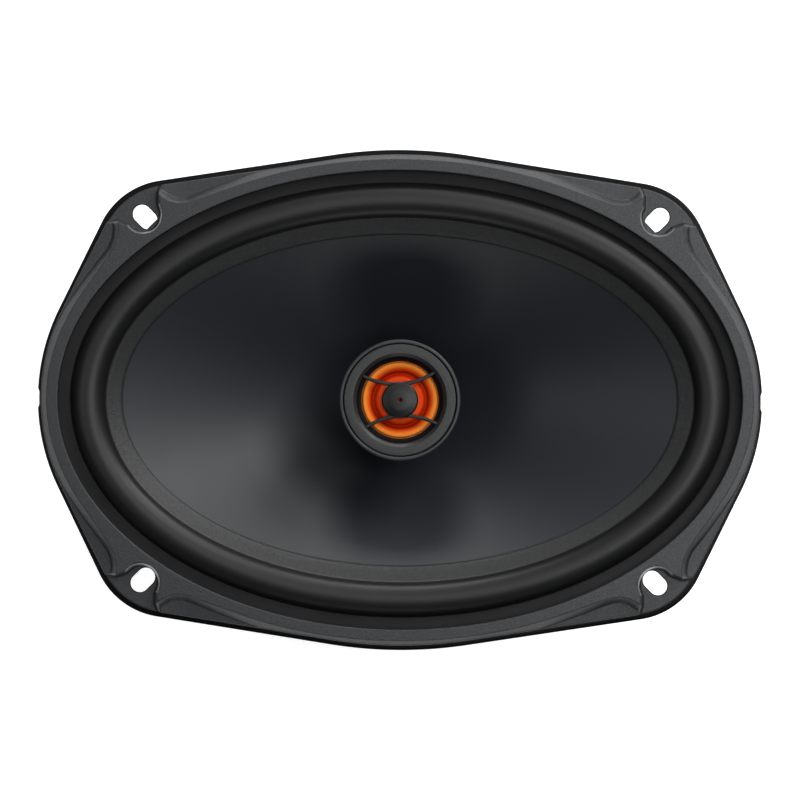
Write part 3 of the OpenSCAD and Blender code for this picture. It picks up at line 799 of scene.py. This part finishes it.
def leg_half(t):
    """Half a leg's width in degrees, flared at both ends so that the windows are rounded."""
    base = 7.0 + 1.5 * t
    q = max((LEG_FROM - t) / LEG_FROM, (t - LEG_TO) / (1 - LEG_TO))
    return LEG_FLARE - (LEG_FLARE - base) * sqrt(max(0, 1 - q ** 2.2)) if q > 0 else base


def make_leg(mid, number):
    ts = [0.5 - 0.5 * cos(pi * i / 64) for i in range(65)]
    us = [-1 + 2 * j / 24 for j in range(25)]
    verts = []
    edge = 0.3
    for t in ts:
        half = leg_half(t)
        inner, outer = [], []
        for u in us:
            th = radians(mid + half * u)
            across = abs(u) * half / 7.6
            bead = 0.9 * max(0, 1 - (across / 0.42) ** 2) ** 2 if across < 0.42 else 0
            bead *= min(1, max(0, (t - 0.1) / 0.12)) * min(1, max(0, (LEG_TO - t) / 0.12))
            lip = 0.35 * max(0, (abs(u) - 0.86) / 0.14) ** 2 * (0.14 < t < LEG_TO)
            soft = edge if abs(u) == 1 else 0
            inner.append(bowl(t, th, bead + lip + soft))
            outer.append(bowl(t, th, SHEET + bead + lip - soft))
        verts += inner + outer[::-1]
    faces = capped(len(ts), 2 * len(us))
    return new_mesh(f"leg_{number}", verts, faces, STEEL_BLACK, 45, merge=False)


def make_basket():
    parts = [make_flange()]
    parts += [make_leg((i + 0.5) * 45, i) for i in range(8)]
    z0, z1 = MOTOR_Z, LANDING_Z
    r_in, r_out = PLATE_R - 1.4, PLATE_R - 0.2
    parts.append(lathe("drum", [
        (20, z0, 0.3), (r_out, z0, 1.6), (r_out, z1 - SHEET, 0.6), (LANDING_R + 1, z1 - SHEET, 0.5),
        (LANDING_R + 1, z1, 0.5), (r_in, z1, 1.4), (r_in, z0 + SHEET, 0.8), (20, z0 + SHEET, 0.3)],
        STEEL_BLACK, 192))
    ob = joined("basket_pressing", parts)
    pad = prism("terminal_pad", rectangle(16, -63, -44, 2.5, 0), z1 - SHEET, z1, STEEL_BLACK, 0.25)
    hole = prism("pad_hole", rectangle(9.5, -60, -49, 1.2, 1.2), z1 - 3, z1 + 1, STEEL_BLACK, 0.05)
    cut(pad, [hole], STEEL_BLACK)
    for p in (ob, pad):
        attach(p, "frame")
    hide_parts("basket")


make_basket()


# ---------------------------------------------------------------- surround
def make_surround():
    half, mid = (ROLL_OUT - ROLL_IN) / 2, (ROLL_OUT + ROLL_IN) / 2
    z0, high = 2.1, 4.7
    n = 420
    top = [(RUBBER_LAP, 2.0), (0.2, 2.0), (-1.2, 2.0), (-2.6, 2.0), (-3.3, 1.98), (-3.7, 1.9)]
    for k in range(1, 32):
        a = pi * k / 32
        top.append((mid + half * cos(a), z0 + high * sin(a) ** 0.92))
    low = [(off, SEAT) for off in (RUBBER_LAP, -0.5, -2.4, -4.2)]
    for k in range(1, 26):
        a = pi * k / 26
        low.append((mid + (half - 0.75) * cos(a), z0 - 0.25 + (high - 0.8) * sin(a)))
    verts, weights = [], []
    width = ROLL_IN - LIP_IN
    for i in range(n):
        th = TAU * i / n
        c, s = cos(th), sin(th)
        da, db = CONE_A - NECK_R, CONE_B - NECK_R
        slope = CONE_CURVE * (LIP_LOW - NECK_Z) * (c * c / CONE_A + s * s / CONE_B) / (
            c * c * da / CONE_A + s * s * db / CONE_B)
        foot = []
        for k in range(9):
            t = k / 8
            straight = LIP_TOP + (LIP_LOW - LIP_TOP) * t
            bow = (slope - (LIP_TOP - LIP_LOW) / width) * width * t * t * (1 - t) * 0.9
            foot.append((ROLL_IN - 0.25 - (width - 0.25) * t, straight + bow))
        row = list(top)
        row += [(w, z + 0.62 - 0.1 * (k == 0)) for k, (w, z) in enumerate(foot)]
        row[-1] = (LIP_IN + 0.05, foot[-1][1] + 0.5)
        row += [(LIP_IN, foot[-1][1] + 0.3)]
        row += [(w, z + 0.06) for w, z in reversed(foot)] + low[::-1]
        for w, z in row:
            verts.append(((OVAL_A + w) * c, (OVAL_B + w) * s, z))
            weights.append(smooth((TRAVEL_ZONE[0] - w) / (TRAVEL_ZONE[0] - TRAVEL_ZONE[1])))
    m = len(row)
    ob = new_mesh("rubber_surround", verts, grid_faces(n, m, True, True), RUBBER, 50, merge=False)
    ob.data.materials.append(RUBBER_BAND_SHADE)
    ob.data.materials.append(RUBBER_LIP)
    # the flat band beside the ring takes the painted-shade copy of the rubber, the inner lip its own grey
    for k, face in enumerate(ob.data.polygons):
        w = row[k % m][0]
        face.material_index = 1 if w > ROLL_OUT - 0.1 else 2 if w < ROLL_IN - 0.05 else 0
    bend(ob, "cone_assembly", (0.107, 0, 0), (0.096, 0, 0), weights, "surround")


make_surround()


# ---------------------------------------------------------------- cone
def cone_level(u):
    """Half axes and height of the cone's face, from its neck (u = 0) to its rim (1)."""
    return (NECK_R + (CONE_A - NECK_R) * u, NECK_R + (CONE_B - NECK_R) * u,
            NECK_Z + (LIP_LOW - NECK_Z) * u ** CONE_CURVE)


def make_cone():
    n = 360
    us = [1 - k / 60 for k in range(61)]
    rim_a, rim_b = OVAL_A + ROLL_IN - 0.1, OVAL_B + ROLL_IN - 0.1
    top = [(rim_a, rim_b, LIP_TOP - 0.05)] + [cone_level(u) for u in us]
    top += [(NECK_R + d, NECK_R + d, NECK_Z - z) for d, z in ((0, 1), (0, 2.7), (0.3, 3), (0.8, 2.7))]
    low = []
    for u in us[::-1]:
        a, b, z = cone_level(u)
        low.append((a + 0.3, b + 0.3, z - 0.85))
    low[0] = (NECK_R + 0.8, NECK_R + 0.8, NECK_Z - 1.2)
    low += [(rim_a + d, rim_b + d, LIP_TOP - z) for d, z in ((0.05, 0.8), (0.2, 0.4))]
    prof = top + low
    verts = [(a * cos(TAU * i / n), b * sin(TAU * i / n), z)
             for i in range(n) for a, b, z in prof]
    return new_mesh("cone_shell", verts, grid_faces(n, len(prof), True, True), CONE, 50, merge=False)


ride(make_cone(), "cone_assembly", "cone_poly", "cone")


# ---------------------------------------------------------------- spider
def make_spider():
    z0 = LANDING_Z + 0.25
    radii = [15.54, 15.8, 16.6, 17.6, 18.6, 19.2, 19.6]
    radii += [20 + 20 * k / 120 for k in range(121)]
    radii += [40.4, 41, 42, 43.5, 45, 46.3, 46.55]

    def wave(r):
        return 1.3 * sin(TAU * (r - 20) / 5) if 20 <= r <= 40 else 0

    rows = [(r, z0 + wave(r) + 0.22) for r in radii] + [(r, z0 + wave(r) - 0.22) for r in radii[::-1]]
    n = 220
    weights = [smooth((40.5 - r) / (40.5 - 18.5)) for r, z in rows] * n
    ob = new_mesh("cloth_spider", turn(rows, n), grid_faces(n, len(rows), True, True), CLOTH, 60,
                  merge=False)
    bend(ob, "cone_assembly", (0.0405, 0, 0), (0.0185, 0, 0), weights, "spider")


make_spider()

# ---------------------------------------------------------------- voice coil
ride(lathe("coil_former", [(15.2, -62, 0.05), (15.5, -62, 0.05), (15.5, -36.2, 0.05),
                           (15.2, -36.2, 0.05)], FILM, 160, 2), "cone_assembly", "former_film",
     "voice_coil_former")
turns = []
for k in range(30):
    z = -61 + 12.5 * k / 30
    turns += [(16.0, z + 0.02, 0), (16.2, z + 0.21, 0.1), (16.0, z + 0.4, 0)]
ride(lathe("coil_winding", [(15.52, -61, 0)] + turns + [(15.52, -48.5, 0)], COPPER, 160, 2, 80),
     "cone_assembly", "copper", "voice_coil")

# ---------------------------------------------------------------- motor
ride(lathe("front_plate", [(16.7, MOTOR_Z - PLATE_T, 0.2), (PLATE_R, MOTOR_Z - PLATE_T, 0.5),
                           (PLATE_R, MOTOR_Z, 0.6), (16.7, MOTOR_Z, 0.3)], ZINC, 192), "frame",
     "zinc_steel", "top_plate")
MAG_Z0, MAG_Z1 = low_of("ferrite_magnet"), top_of("ferrite_magnet")
ride(lathe("ferrite_ring", [(22, MAG_Z0, 0.4), (FERRITE_R - 1.1, MAG_Z0, 0.3),
                            (FERRITE_R, MAG_Z0 + 1.1, 0.3), (FERRITE_R, MAG_Z1 - 1.1, 0.3),
                            (FERRITE_R - 1.1, MAG_Z1, 0.3), (22, MAG_Z1, 0.4)], FERRITE, 192),
     "frame", "ferrite", "ferrite_magnet")


def make_yoke():
    z0, z1, top = BACK_Z, MAG_Z0, MOTOR_Z
    sink = top_of("lock_washer")
    ob = lathe("pole_and_back_plate", [
        (4.2, sink, 0.2), (9.2, sink, 0.1), (9.2, z0, 0.4), (PLATE_R, z0, 1.0), (PLATE_R, z1, 0.5),
        (POLE_R + 1.5, z1, 0.2), (POLE_R, z1 + 1.5, 0.8), (POLE_R, top, 0.9), (4.2, top, 0.5)],
        ZINC, 192)
    groove = prism("groove", rectangle(1.7, -PLATE_R - 1, -6, 0, 0), z0 - 1, z0 + 1.9, ZINC, 0.1)
    return cut(ob, [groove], ZINC)


ride(make_yoke(), "frame", "zinc_steel", "pole_yoke")


def make_rivets():
    parts = []
    floor_z = MOTOR_Z + SHEET
    for k in range(6):
        a = radians(30 + 60 * k)
        parts.append(lathe(f"rivet_{k}", [
            (0, MOTOR_Z - 3, 0), (2, MOTOR_Z - 3, 0.3), (2, floor_z, 0.1), (3.4, floor_z, 0.15),
            (3.35, floor_z + 0.55, 0.5), (2.3, floor_z + 1.08, 0.6), (0.9, floor_z + 1.02, 0.4),
            (0, floor_z + 0.85, 0)], ZINC, 40, 4, 38, (31 * cos(a), 31 * sin(a))))
    return joined("basket_rivet_set", parts)


ride(make_rivets(), "frame", "zinc_steel", "basket_rivets")

# ---------------------------------------------------------------- tweeter's post, stem and nut
POST_Z = low_of("tweeter_housing")
ride(lathe("post_moulding", [
    (STEM_R + 0.05, MOTOR_Z, 0.2), (14, MOTOR_Z, 0.2), (14, MOTOR_Z + 1.5, 0.5),
    (11, MOTOR_Z + 5, 2.5), (11, POST_Z, 0.4), (4.9, POST_Z, 0.1), (4.9, POST_Z + 3.5, 0.25),
    (3, POST_Z + 3.5, 0.25), (3, MOTOR_Z + 9, 0.1), (STEM_R + 0.05, MOTOR_Z + 9, 0.1)], SATIN, 120),
    "frame", "black_plastic", "tweeter_post")


def make_stem():
    z0, z1 = low_of("mounting_stem"), top_of("mounting_stem")
    rows, pitch, depth = 96, 1.0, 0.45
    zs = [z0 + (z1 - z0) * k / 240 for k in range(241)]
    verts = []
    for i in range(rows):
        a = TAU * i / rows
        c, s = cos(a), sin(a)
        for z in zs:
            thread = 0.5 - 0.5 * cos(TAU * (z / pitch - i / rows))
            low = z < z0 + 8
            end = min(1, (z - z0) / 0.6, (z1 - z) / 0.6)
            r = STEM_R - (depth * thread if low else 0) - 0.4 * (1 - max(0, end))
            verts.append((r * c, r * s, z))
        verts += [(2 * c, 2 * s, z1), (2 * c, 2 * s, z0)]
    return new_mesh("hollow_stem", verts, grid_faces(rows, len(zs) + 2, True, True), ZINC, 40)


ride(make_stem(), "frame", "zinc_steel", "mounting_stem")


def make_nut():
    z0, z1 = low_of("stem_nut"), top_of("stem_nut")
    flat = reach("stem_nut", 1)
    verts = []
    n = 96
    for i in range(n):
        a = TAU * i / n
        rim = flat / cos(a % (pi / 3) - pi / 6)
        drop = max(0, rim - flat + 0.15) * 0.577
        for r, z in ((STEM_R + 0.03, z0 + 0.4), (STEM_R + 0.45, z0), (flat - 0.15, z0),
                     (rim - 0.04, z0 + drop), (rim, z0 + drop + 0.08), (rim, z1 - drop - 0.08),
                     (rim - 0.04, z1 - drop), (flat - 0.15, z1), (STEM_R + 0.45, z1),
                     (STEM_R + 0.03, z1 - 0.4)):
            verts.append((r * cos(a), r * sin(a), z))
    return new_mesh("hex_nut", verts, grid_faces(n, 10, True, True), ZINC, 30)


ride(make_nut(), "frame", "zinc_steel", "stem_nut")

# ---------------------------------------------------------------- tweeter
MOUTH_R = TW_R - 1.2
LIP_R = 14.2                              # the bezel's inner step; inside it the plastic is painted near black, as painted shade of the deep gap
ride(lathe("housing_shell", [
    (5, POST_Z, 0.2), (12, POST_Z, 0.4), (13.6, POST_Z + 0.4, 0.8), (17.6, -8.8, 2), (19, -6.6, 1.5),
    (TW_R, -4.2, 1.5), (TW_R, TW_TOP, 0.5), (MOUTH_R, TW_TOP, 0.3), (MOUTH_R, 1, 0.1), (10.1, 1, 0.2),
    (10.1, -8, 0.1), (5, -8, 0.1)], HOUSING, 240, 6), "frame", "ring_plastic", "tweeter_housing")


def make_bezel():
    ob = lathe("bezel_ring", [
        (15.2, 1, 0), (MOUTH_R - 0.3, 1, 0), (MOUTH_R - 0.3, TW_TOP - 0.15, 0.3),
        (15.25, TW_TOP - 0.15, 0.22), (LIP_R + 0.05, TW_TOP - 1.0, 0.25),
        (LIP_R - 0.1, TW_TOP - 1.55, 0.12), (13.8, TW_TOP - 1.6, 0.2), (13.65, 2.05, 0.3),
        (12.62, 1.87, 0.12), (12.6, 1.52, 0.08), (13.4, 1.45, 0.05), (13.5, 1.3, 0.05),
        (15.2, 1.3, 0.05)], FACE, 240, 6)
    ob.data.materials.append(LIP_PAINTED_SHADE)
    # faces inside the step take the painted shade
    for face in ob.data.polygons:
        if hypot(*face.center[:2]) < LIP_R * MM:
            face.material_index = 1
    return ob


ride(make_bezel(), "frame", "black_plastic", "tweeter_bezel")

# the film's middle surface as (r, z): dome, roll over the coil, valley, outer roll, glued edge
DOME = [(0, 3.3), (2, 3.2), (3.6, 2.95), (5, 2.55), (6.1, 2.15), (6.4, 2.12), (6.9, 2.3), (7.5, 1.7),
        (8.2, 1.05), (8.7, 0.95), (9.4, 1.2), (10.3, 1.95), (11.2, 2.4), (12, 2.35), (12.3, 1.6),
        (12.6, 1.17), (15, 1.17)]


def curve_through(points, steps):
    """A smooth curve through the points, each stretch cut into that many steps."""
    out = []
    n = len(points)
    for i in range(n - 1):
        p0, p1, p2, p3 = (points[max(i - 1, 0)], points[i], points[i + 1], points[min(i + 2, n - 1)])
        for k in range(steps):
            t = k / steps
            out.append(tuple(
                0.5 * (2 * b + (c - a) * t + (2 * a - 5 * b + 4 * c - d) * t * t
                       + (3 * b - a - 3 * c + d) * t ** 3) for a, b, c, d in zip(p0, p1, p2, p3)))
    return out + [points[-1]]


def make_diaphragm():
    line = curve_through(DOME, 6)
    half = 0.12
    n = 240
    rows = [(r, z + half) for r, z in line] + [(r, z - half) for r, z in line[::-1]]
    m = len(rows)
    weights = [smooth((11.9 - r) / 5.0) for r, z in rows] * n
    faces = [f for f in grid_faces(n, m, True, True) if not ({f[0] % m, f[1] % m} == {0, m - 1})]
    ob = new_mesh("diaphragm_film", turn(rows, n), faces, ORANGE, 60, merge=False)
    bend(ob, "tweeter_coil_assembly", (0.0119, 0, 0), (0.0069, 0, 0), weights,
         "tweeter_diaphragm")


make_diaphragm()


def bar(name, sign, tilt):
    """One curved bar across the tweeter's mouth, with rounded edges."""
    z0, z1 = TW_TOP - 1.6, TW_TOP - 0.7
    section = rounded([(-1, z0, 0.15), (1, z0, 0.15), (1, z1, 0.3), (-1, z1, 0.3)], 3)
    xs = [-11.5 + 23.0 * k / 60 for k in range(61)]
    bow = 0.0243
    verts = []
    for x in xs:
        y = sign * (5.1 + bow * x * x)
        slope = sign * 2 * bow * x
        n = hypot(1, slope)
        half = 0.72 - 0.016 * abs(x)
        for off, z in section:
            px, py = x - half * off * slope / n, y + half * off / n
            verts.append((px * cos(tilt) - py * sin(tilt),
                          px * sin(tilt) + py * cos(tilt), z))
    return new_mesh(name, verts, capped(len(xs), len(section)), CAP, 50)


def make_grille():
    disc = lathe("cap_disc", [
        (0.65, TW_TOP - 1.9, 0.05), (5.5, TW_TOP - 1.9, 0.1), (5.9, TW_TOP - 1.5, 0.2),
        (5.9, TW_TOP - 0.5, 0.25), (5.55, TW_TOP - 0.12, 0.4), (3.4, TW_TOP + 0.28, 2),
        (0.65, TW_TOP + 0.48, 0.2)], CAP, 160, 6)
    tilt = radians(3.2)
    return joined("tweeter_guard", [disc, bar("bar_1", 1, tilt), bar("bar_2", -1, tilt)])


ride(make_grille(), "frame", "black_plastic", "tweeter_grille")

# pieces that keep their CAD shape
FINISH = {"tweeter_former": ALU, "tweeter_coil": COPPER, "tweeter_yoke": ZINC,
          "tweeter_magnet": NICKEL, "tweeter_plate": ZINC, "lock_washer": ZINC}
for name, mat in FINISH.items():
    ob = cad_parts[name]
    for s in ob.material_slots:
        s.material = mat

# ---------------------------------------------------------------- terminals and wiring
PIN_X, PIN_Y = 6.0, -54.0                 # the rivets through the blades
FIX_X, FIX_Y = 12.5, -55.0                # the rivets that hold the board
RIVET_WAY = 1.62                          # radius of the holes for both


def drill(name, x, y, r, z0, z1):
    return lathe(name, [(0, z0, 0), (r, z0, 0), (r, z1, 0), (0, z1, 0)], BOARD, 32, 1, 38, (x, y))


def make_board():
    ob = prism("terminal_plate", rectangle(15.2, -62, -50.6, 1.2, 1.2), LANDING_Z, BOARD_Z, BOARD,
               0.12)
    holes = []
    for s in (-1, 1):
        for k, (x, y, r) in enumerate(((FIX_X, FIX_Y, RIVET_WAY), (PIN_X, PIN_Y, RIVET_WAY),
                                       (0.8, -52, 0.6))):
            holes.append(drill(f"hole_{s}_{k}", s * x, y, r, LANDING_Z - 1, BOARD_Z + 1))
    return cut(ob, holes, BOARD)


ride(make_board(), "frame", "brown_board", "terminal_board")


def make_tab(name, x, width):
    z0 = BOARD_Z
    h = width / 2
    side = [(2.4, -50.8, 0.5), (2.4, -57, 0.4), (h, -57, 0.3), (h, -69.5, 0.3), (h - 0.6, -71, 0.2)]
    shape = [(x - d, y, r) for d, y, r in side] + [(x + d, y, r) for d, y, r in side[::-1]]
    ob = prism(name, shape, z0, z0 + 0.8, BRASS, 0.14)
    holes = [drill(f"{name}_rivet_way", x, PIN_Y, RIVET_WAY, z0 - 1, z0 + 2),
             drill(f"{name}_dimple", x, -67.4, 0.7, z0 - 1, z0 + 2)]
    return cut(ob, holes, BRASS)


ride(make_tab("spade_positive", -PIN_X, 4.8), "frame", "tinned_brass", "tab_positive")
ride(make_tab("spade_negative", PIN_X, 2.8), "frame", "tinned_brass", "tab_negative")


def eyelet(name, x, y, z0, z1):
    """A hollow rivet, rolled over above z1 and below z0."""
    return lathe(name, [
        (0.9, z0 - 0.6, 0.2), (2.0, z0 - 0.68, 0.3), (2.3, z0 - 0.2, 0.3), (2.2, z0, 0.05),
        (1.6, z0, 0.05), (1.6, z1, 0.05), (2.2, z1, 0.05), (2.3, z1 + 0.2, 0.3), (2.0, z1 + 0.68, 0.3),
        (0.9, z1 + 0.6, 0.2)], ZINC, 40, 4, 38, (x, y))


EYELETS = [(s * x, y, z0, z1) for x, y, z0, z1 in (
    (FIX_X, FIX_Y, LANDING_Z - SHEET, BOARD_Z), (PIN_X, PIN_Y, LANDING_Z, BOARD_Z + 0.8))
    for s in (-1, 1)]
ride(joined("terminal_eyelets", [eyelet(f"eyelet_{k}", *at) for k, at in enumerate(EYELETS)]),
     "frame", "zinc_steel", "terminal_rivets")


def placed(ob, matrix):
    """Moves a piece's mesh, so that the object itself stays at the origin."""
    ob.data.transform(matrix)
    ob.data.update()
    return ob


CAP_Y, CAP_Z, CAP_R, CAP_HALF = -60.2, BOARD_Z + 4.85, 4.0, 7.0
ride(placed(lathe("capacitor_can", [
    (0, -CAP_HALF, 0), (CAP_R - 0.3, -CAP_HALF, 0.5), (CAP_R, -CAP_HALF + 1, 0.6),
    (CAP_R, -CAP_HALF + 1.8, 0.3), (CAP_R - 0.35, -CAP_HALF + 2.3, 0.3),
    (CAP_R, -CAP_HALF + 2.8, 0.3), (CAP_R, CAP_HALF - 0.4, 0.5), (CAP_R - 0.6, CAP_HALF - 0.4, 0.2),
    (CAP_R - 0.9, CAP_HALF, 0.2), (0, CAP_HALF, 0)], SLEEVE, 96),
    Matrix.Translation((0, CAP_Y * MM, CAP_Z * MM)) @ Matrix.Rotation(pi / 2, 4, "Y")),
    "frame", "cap_sleeve", "crossover_capacitor")
for s in (-1, 1):
    wire, _ = tube(f"capacitor_wire_{'left' if s < 0 else 'right'}", [
        (s * 6.6, CAP_Y, CAP_Z), (s * 8.6, CAP_Y, CAP_Z), (s * 9.25, CAP_Y, CAP_Z - 0.3),
        (s * 9.4, CAP_Y, CAP_Z - 1), (s * 9.4, CAP_Y, BOARD_Z + 0.1)], 0.3, ALU, 12, 6)
    ride(wire, "frame", "cap_sleeve", "crossover_capacitor")

LEAD_Y = -FERRITE_R - 0.75                # just outside the ferrite ring
for s, mat in ((-1, WIRE), (1, WIRE_DARK)):
    x = 0.8 * s
    wire, _ = tube(f"tweeter_wire_{'positive' if s < 0 else 'negative'}", [
        (x, 0, -7.1), (x, 0, BACK_Z + 3), (x, -0.4, BACK_Z + 1.5), (x, -2, BACK_Z + 1.1),
        (x, LEAD_Y + 2, BACK_Z + 1.1), (x, LEAD_Y + 0.4, BACK_Z + 1.4), (x, LEAD_Y, BACK_Z + 3),
        (x, LEAD_Y, LANDING_Z - 5), (x, LEAD_Y - 0.8, LANDING_Z - 3.6),
        (x, LEAD_Y - 5, LANDING_Z - 2.5), (x, -52, LANDING_Z - 1.4), (x, -52, BOARD_Z + 0.4)],
        0.5, mat, 14, 8)
    ride(wire, "frame", "wire_sleeve", "tweeter_leads")

ANCHOR_TILT = radians(43)
ANCHOR_U = 0.307                          # the glue bead's place between the cone's neck and rim
ANCHOR = Vector((6, -27, cone_level(ANCHOR_U)[2] - 1.0))
ANCHOR_DIR = Vector((0, -sin(ANCHOR_TILT), -cos(ANCHOR_TILT)))
TINSEL_PATH = [(6, -51.1, BOARD_Z + 1.35), (6, -48.5, BOARD_Z + 4), (6, -43, BOARD_Z + 5.8),
               (6, -38.5, BOARD_Z + 5.5), (6, -34.5, BOARD_Z + 5.6), (6, -31.3, BOARD_Z + 7.8),
               (6, -29.2, BOARD_Z + 11.4), tuple(ANCHOR + 1.2 * ANCHOR_DIR)]


def braid(i, a):
    """The strands of a tinsel lead, as ridges that wind round it."""
    return 0.93 + 0.07 * cos(6 * a + 0.9 * i)


for s, name in ((-1, "positive"), (1, "negative")):
    lead, along = tube(f"tinsel_lead_{name}", [(s * x, y, z) for x, y, z in TINSEL_PATH], 0.5,
                       TINSEL, 24, 24, braid)
    bend(lead, "cone_assembly", (0, -0.0511, 0), (0, -0.0285, 0),
         [smooth((a - 0.06) / 0.88) for a in along], f"tinsel_{name}")


def make_anchors():
    parts = []
    for s in (-1, 1):
        blob = lathe(f"glue_{s}", [(0, -1.35, 0), (0.9, -1.3, 0.5), (1.55, -0.7, 0.6), (1.7, 0.1, 0.2),
                                   (0, 0.1, 0)], GLUE, 40, 5)
        place = Vector((s * ANCHOR.x, ANCHOR.y, ANCHOR.z)) * MM
        parts.append(placed(blob, Matrix.Translation(place) @ Matrix.Rotation(-ANCHOR_TILT, 4, "X")))
    return joined("glue_beads", parts)


ride(make_anchors(), "cone_assembly", "glue", "lead_anchors")
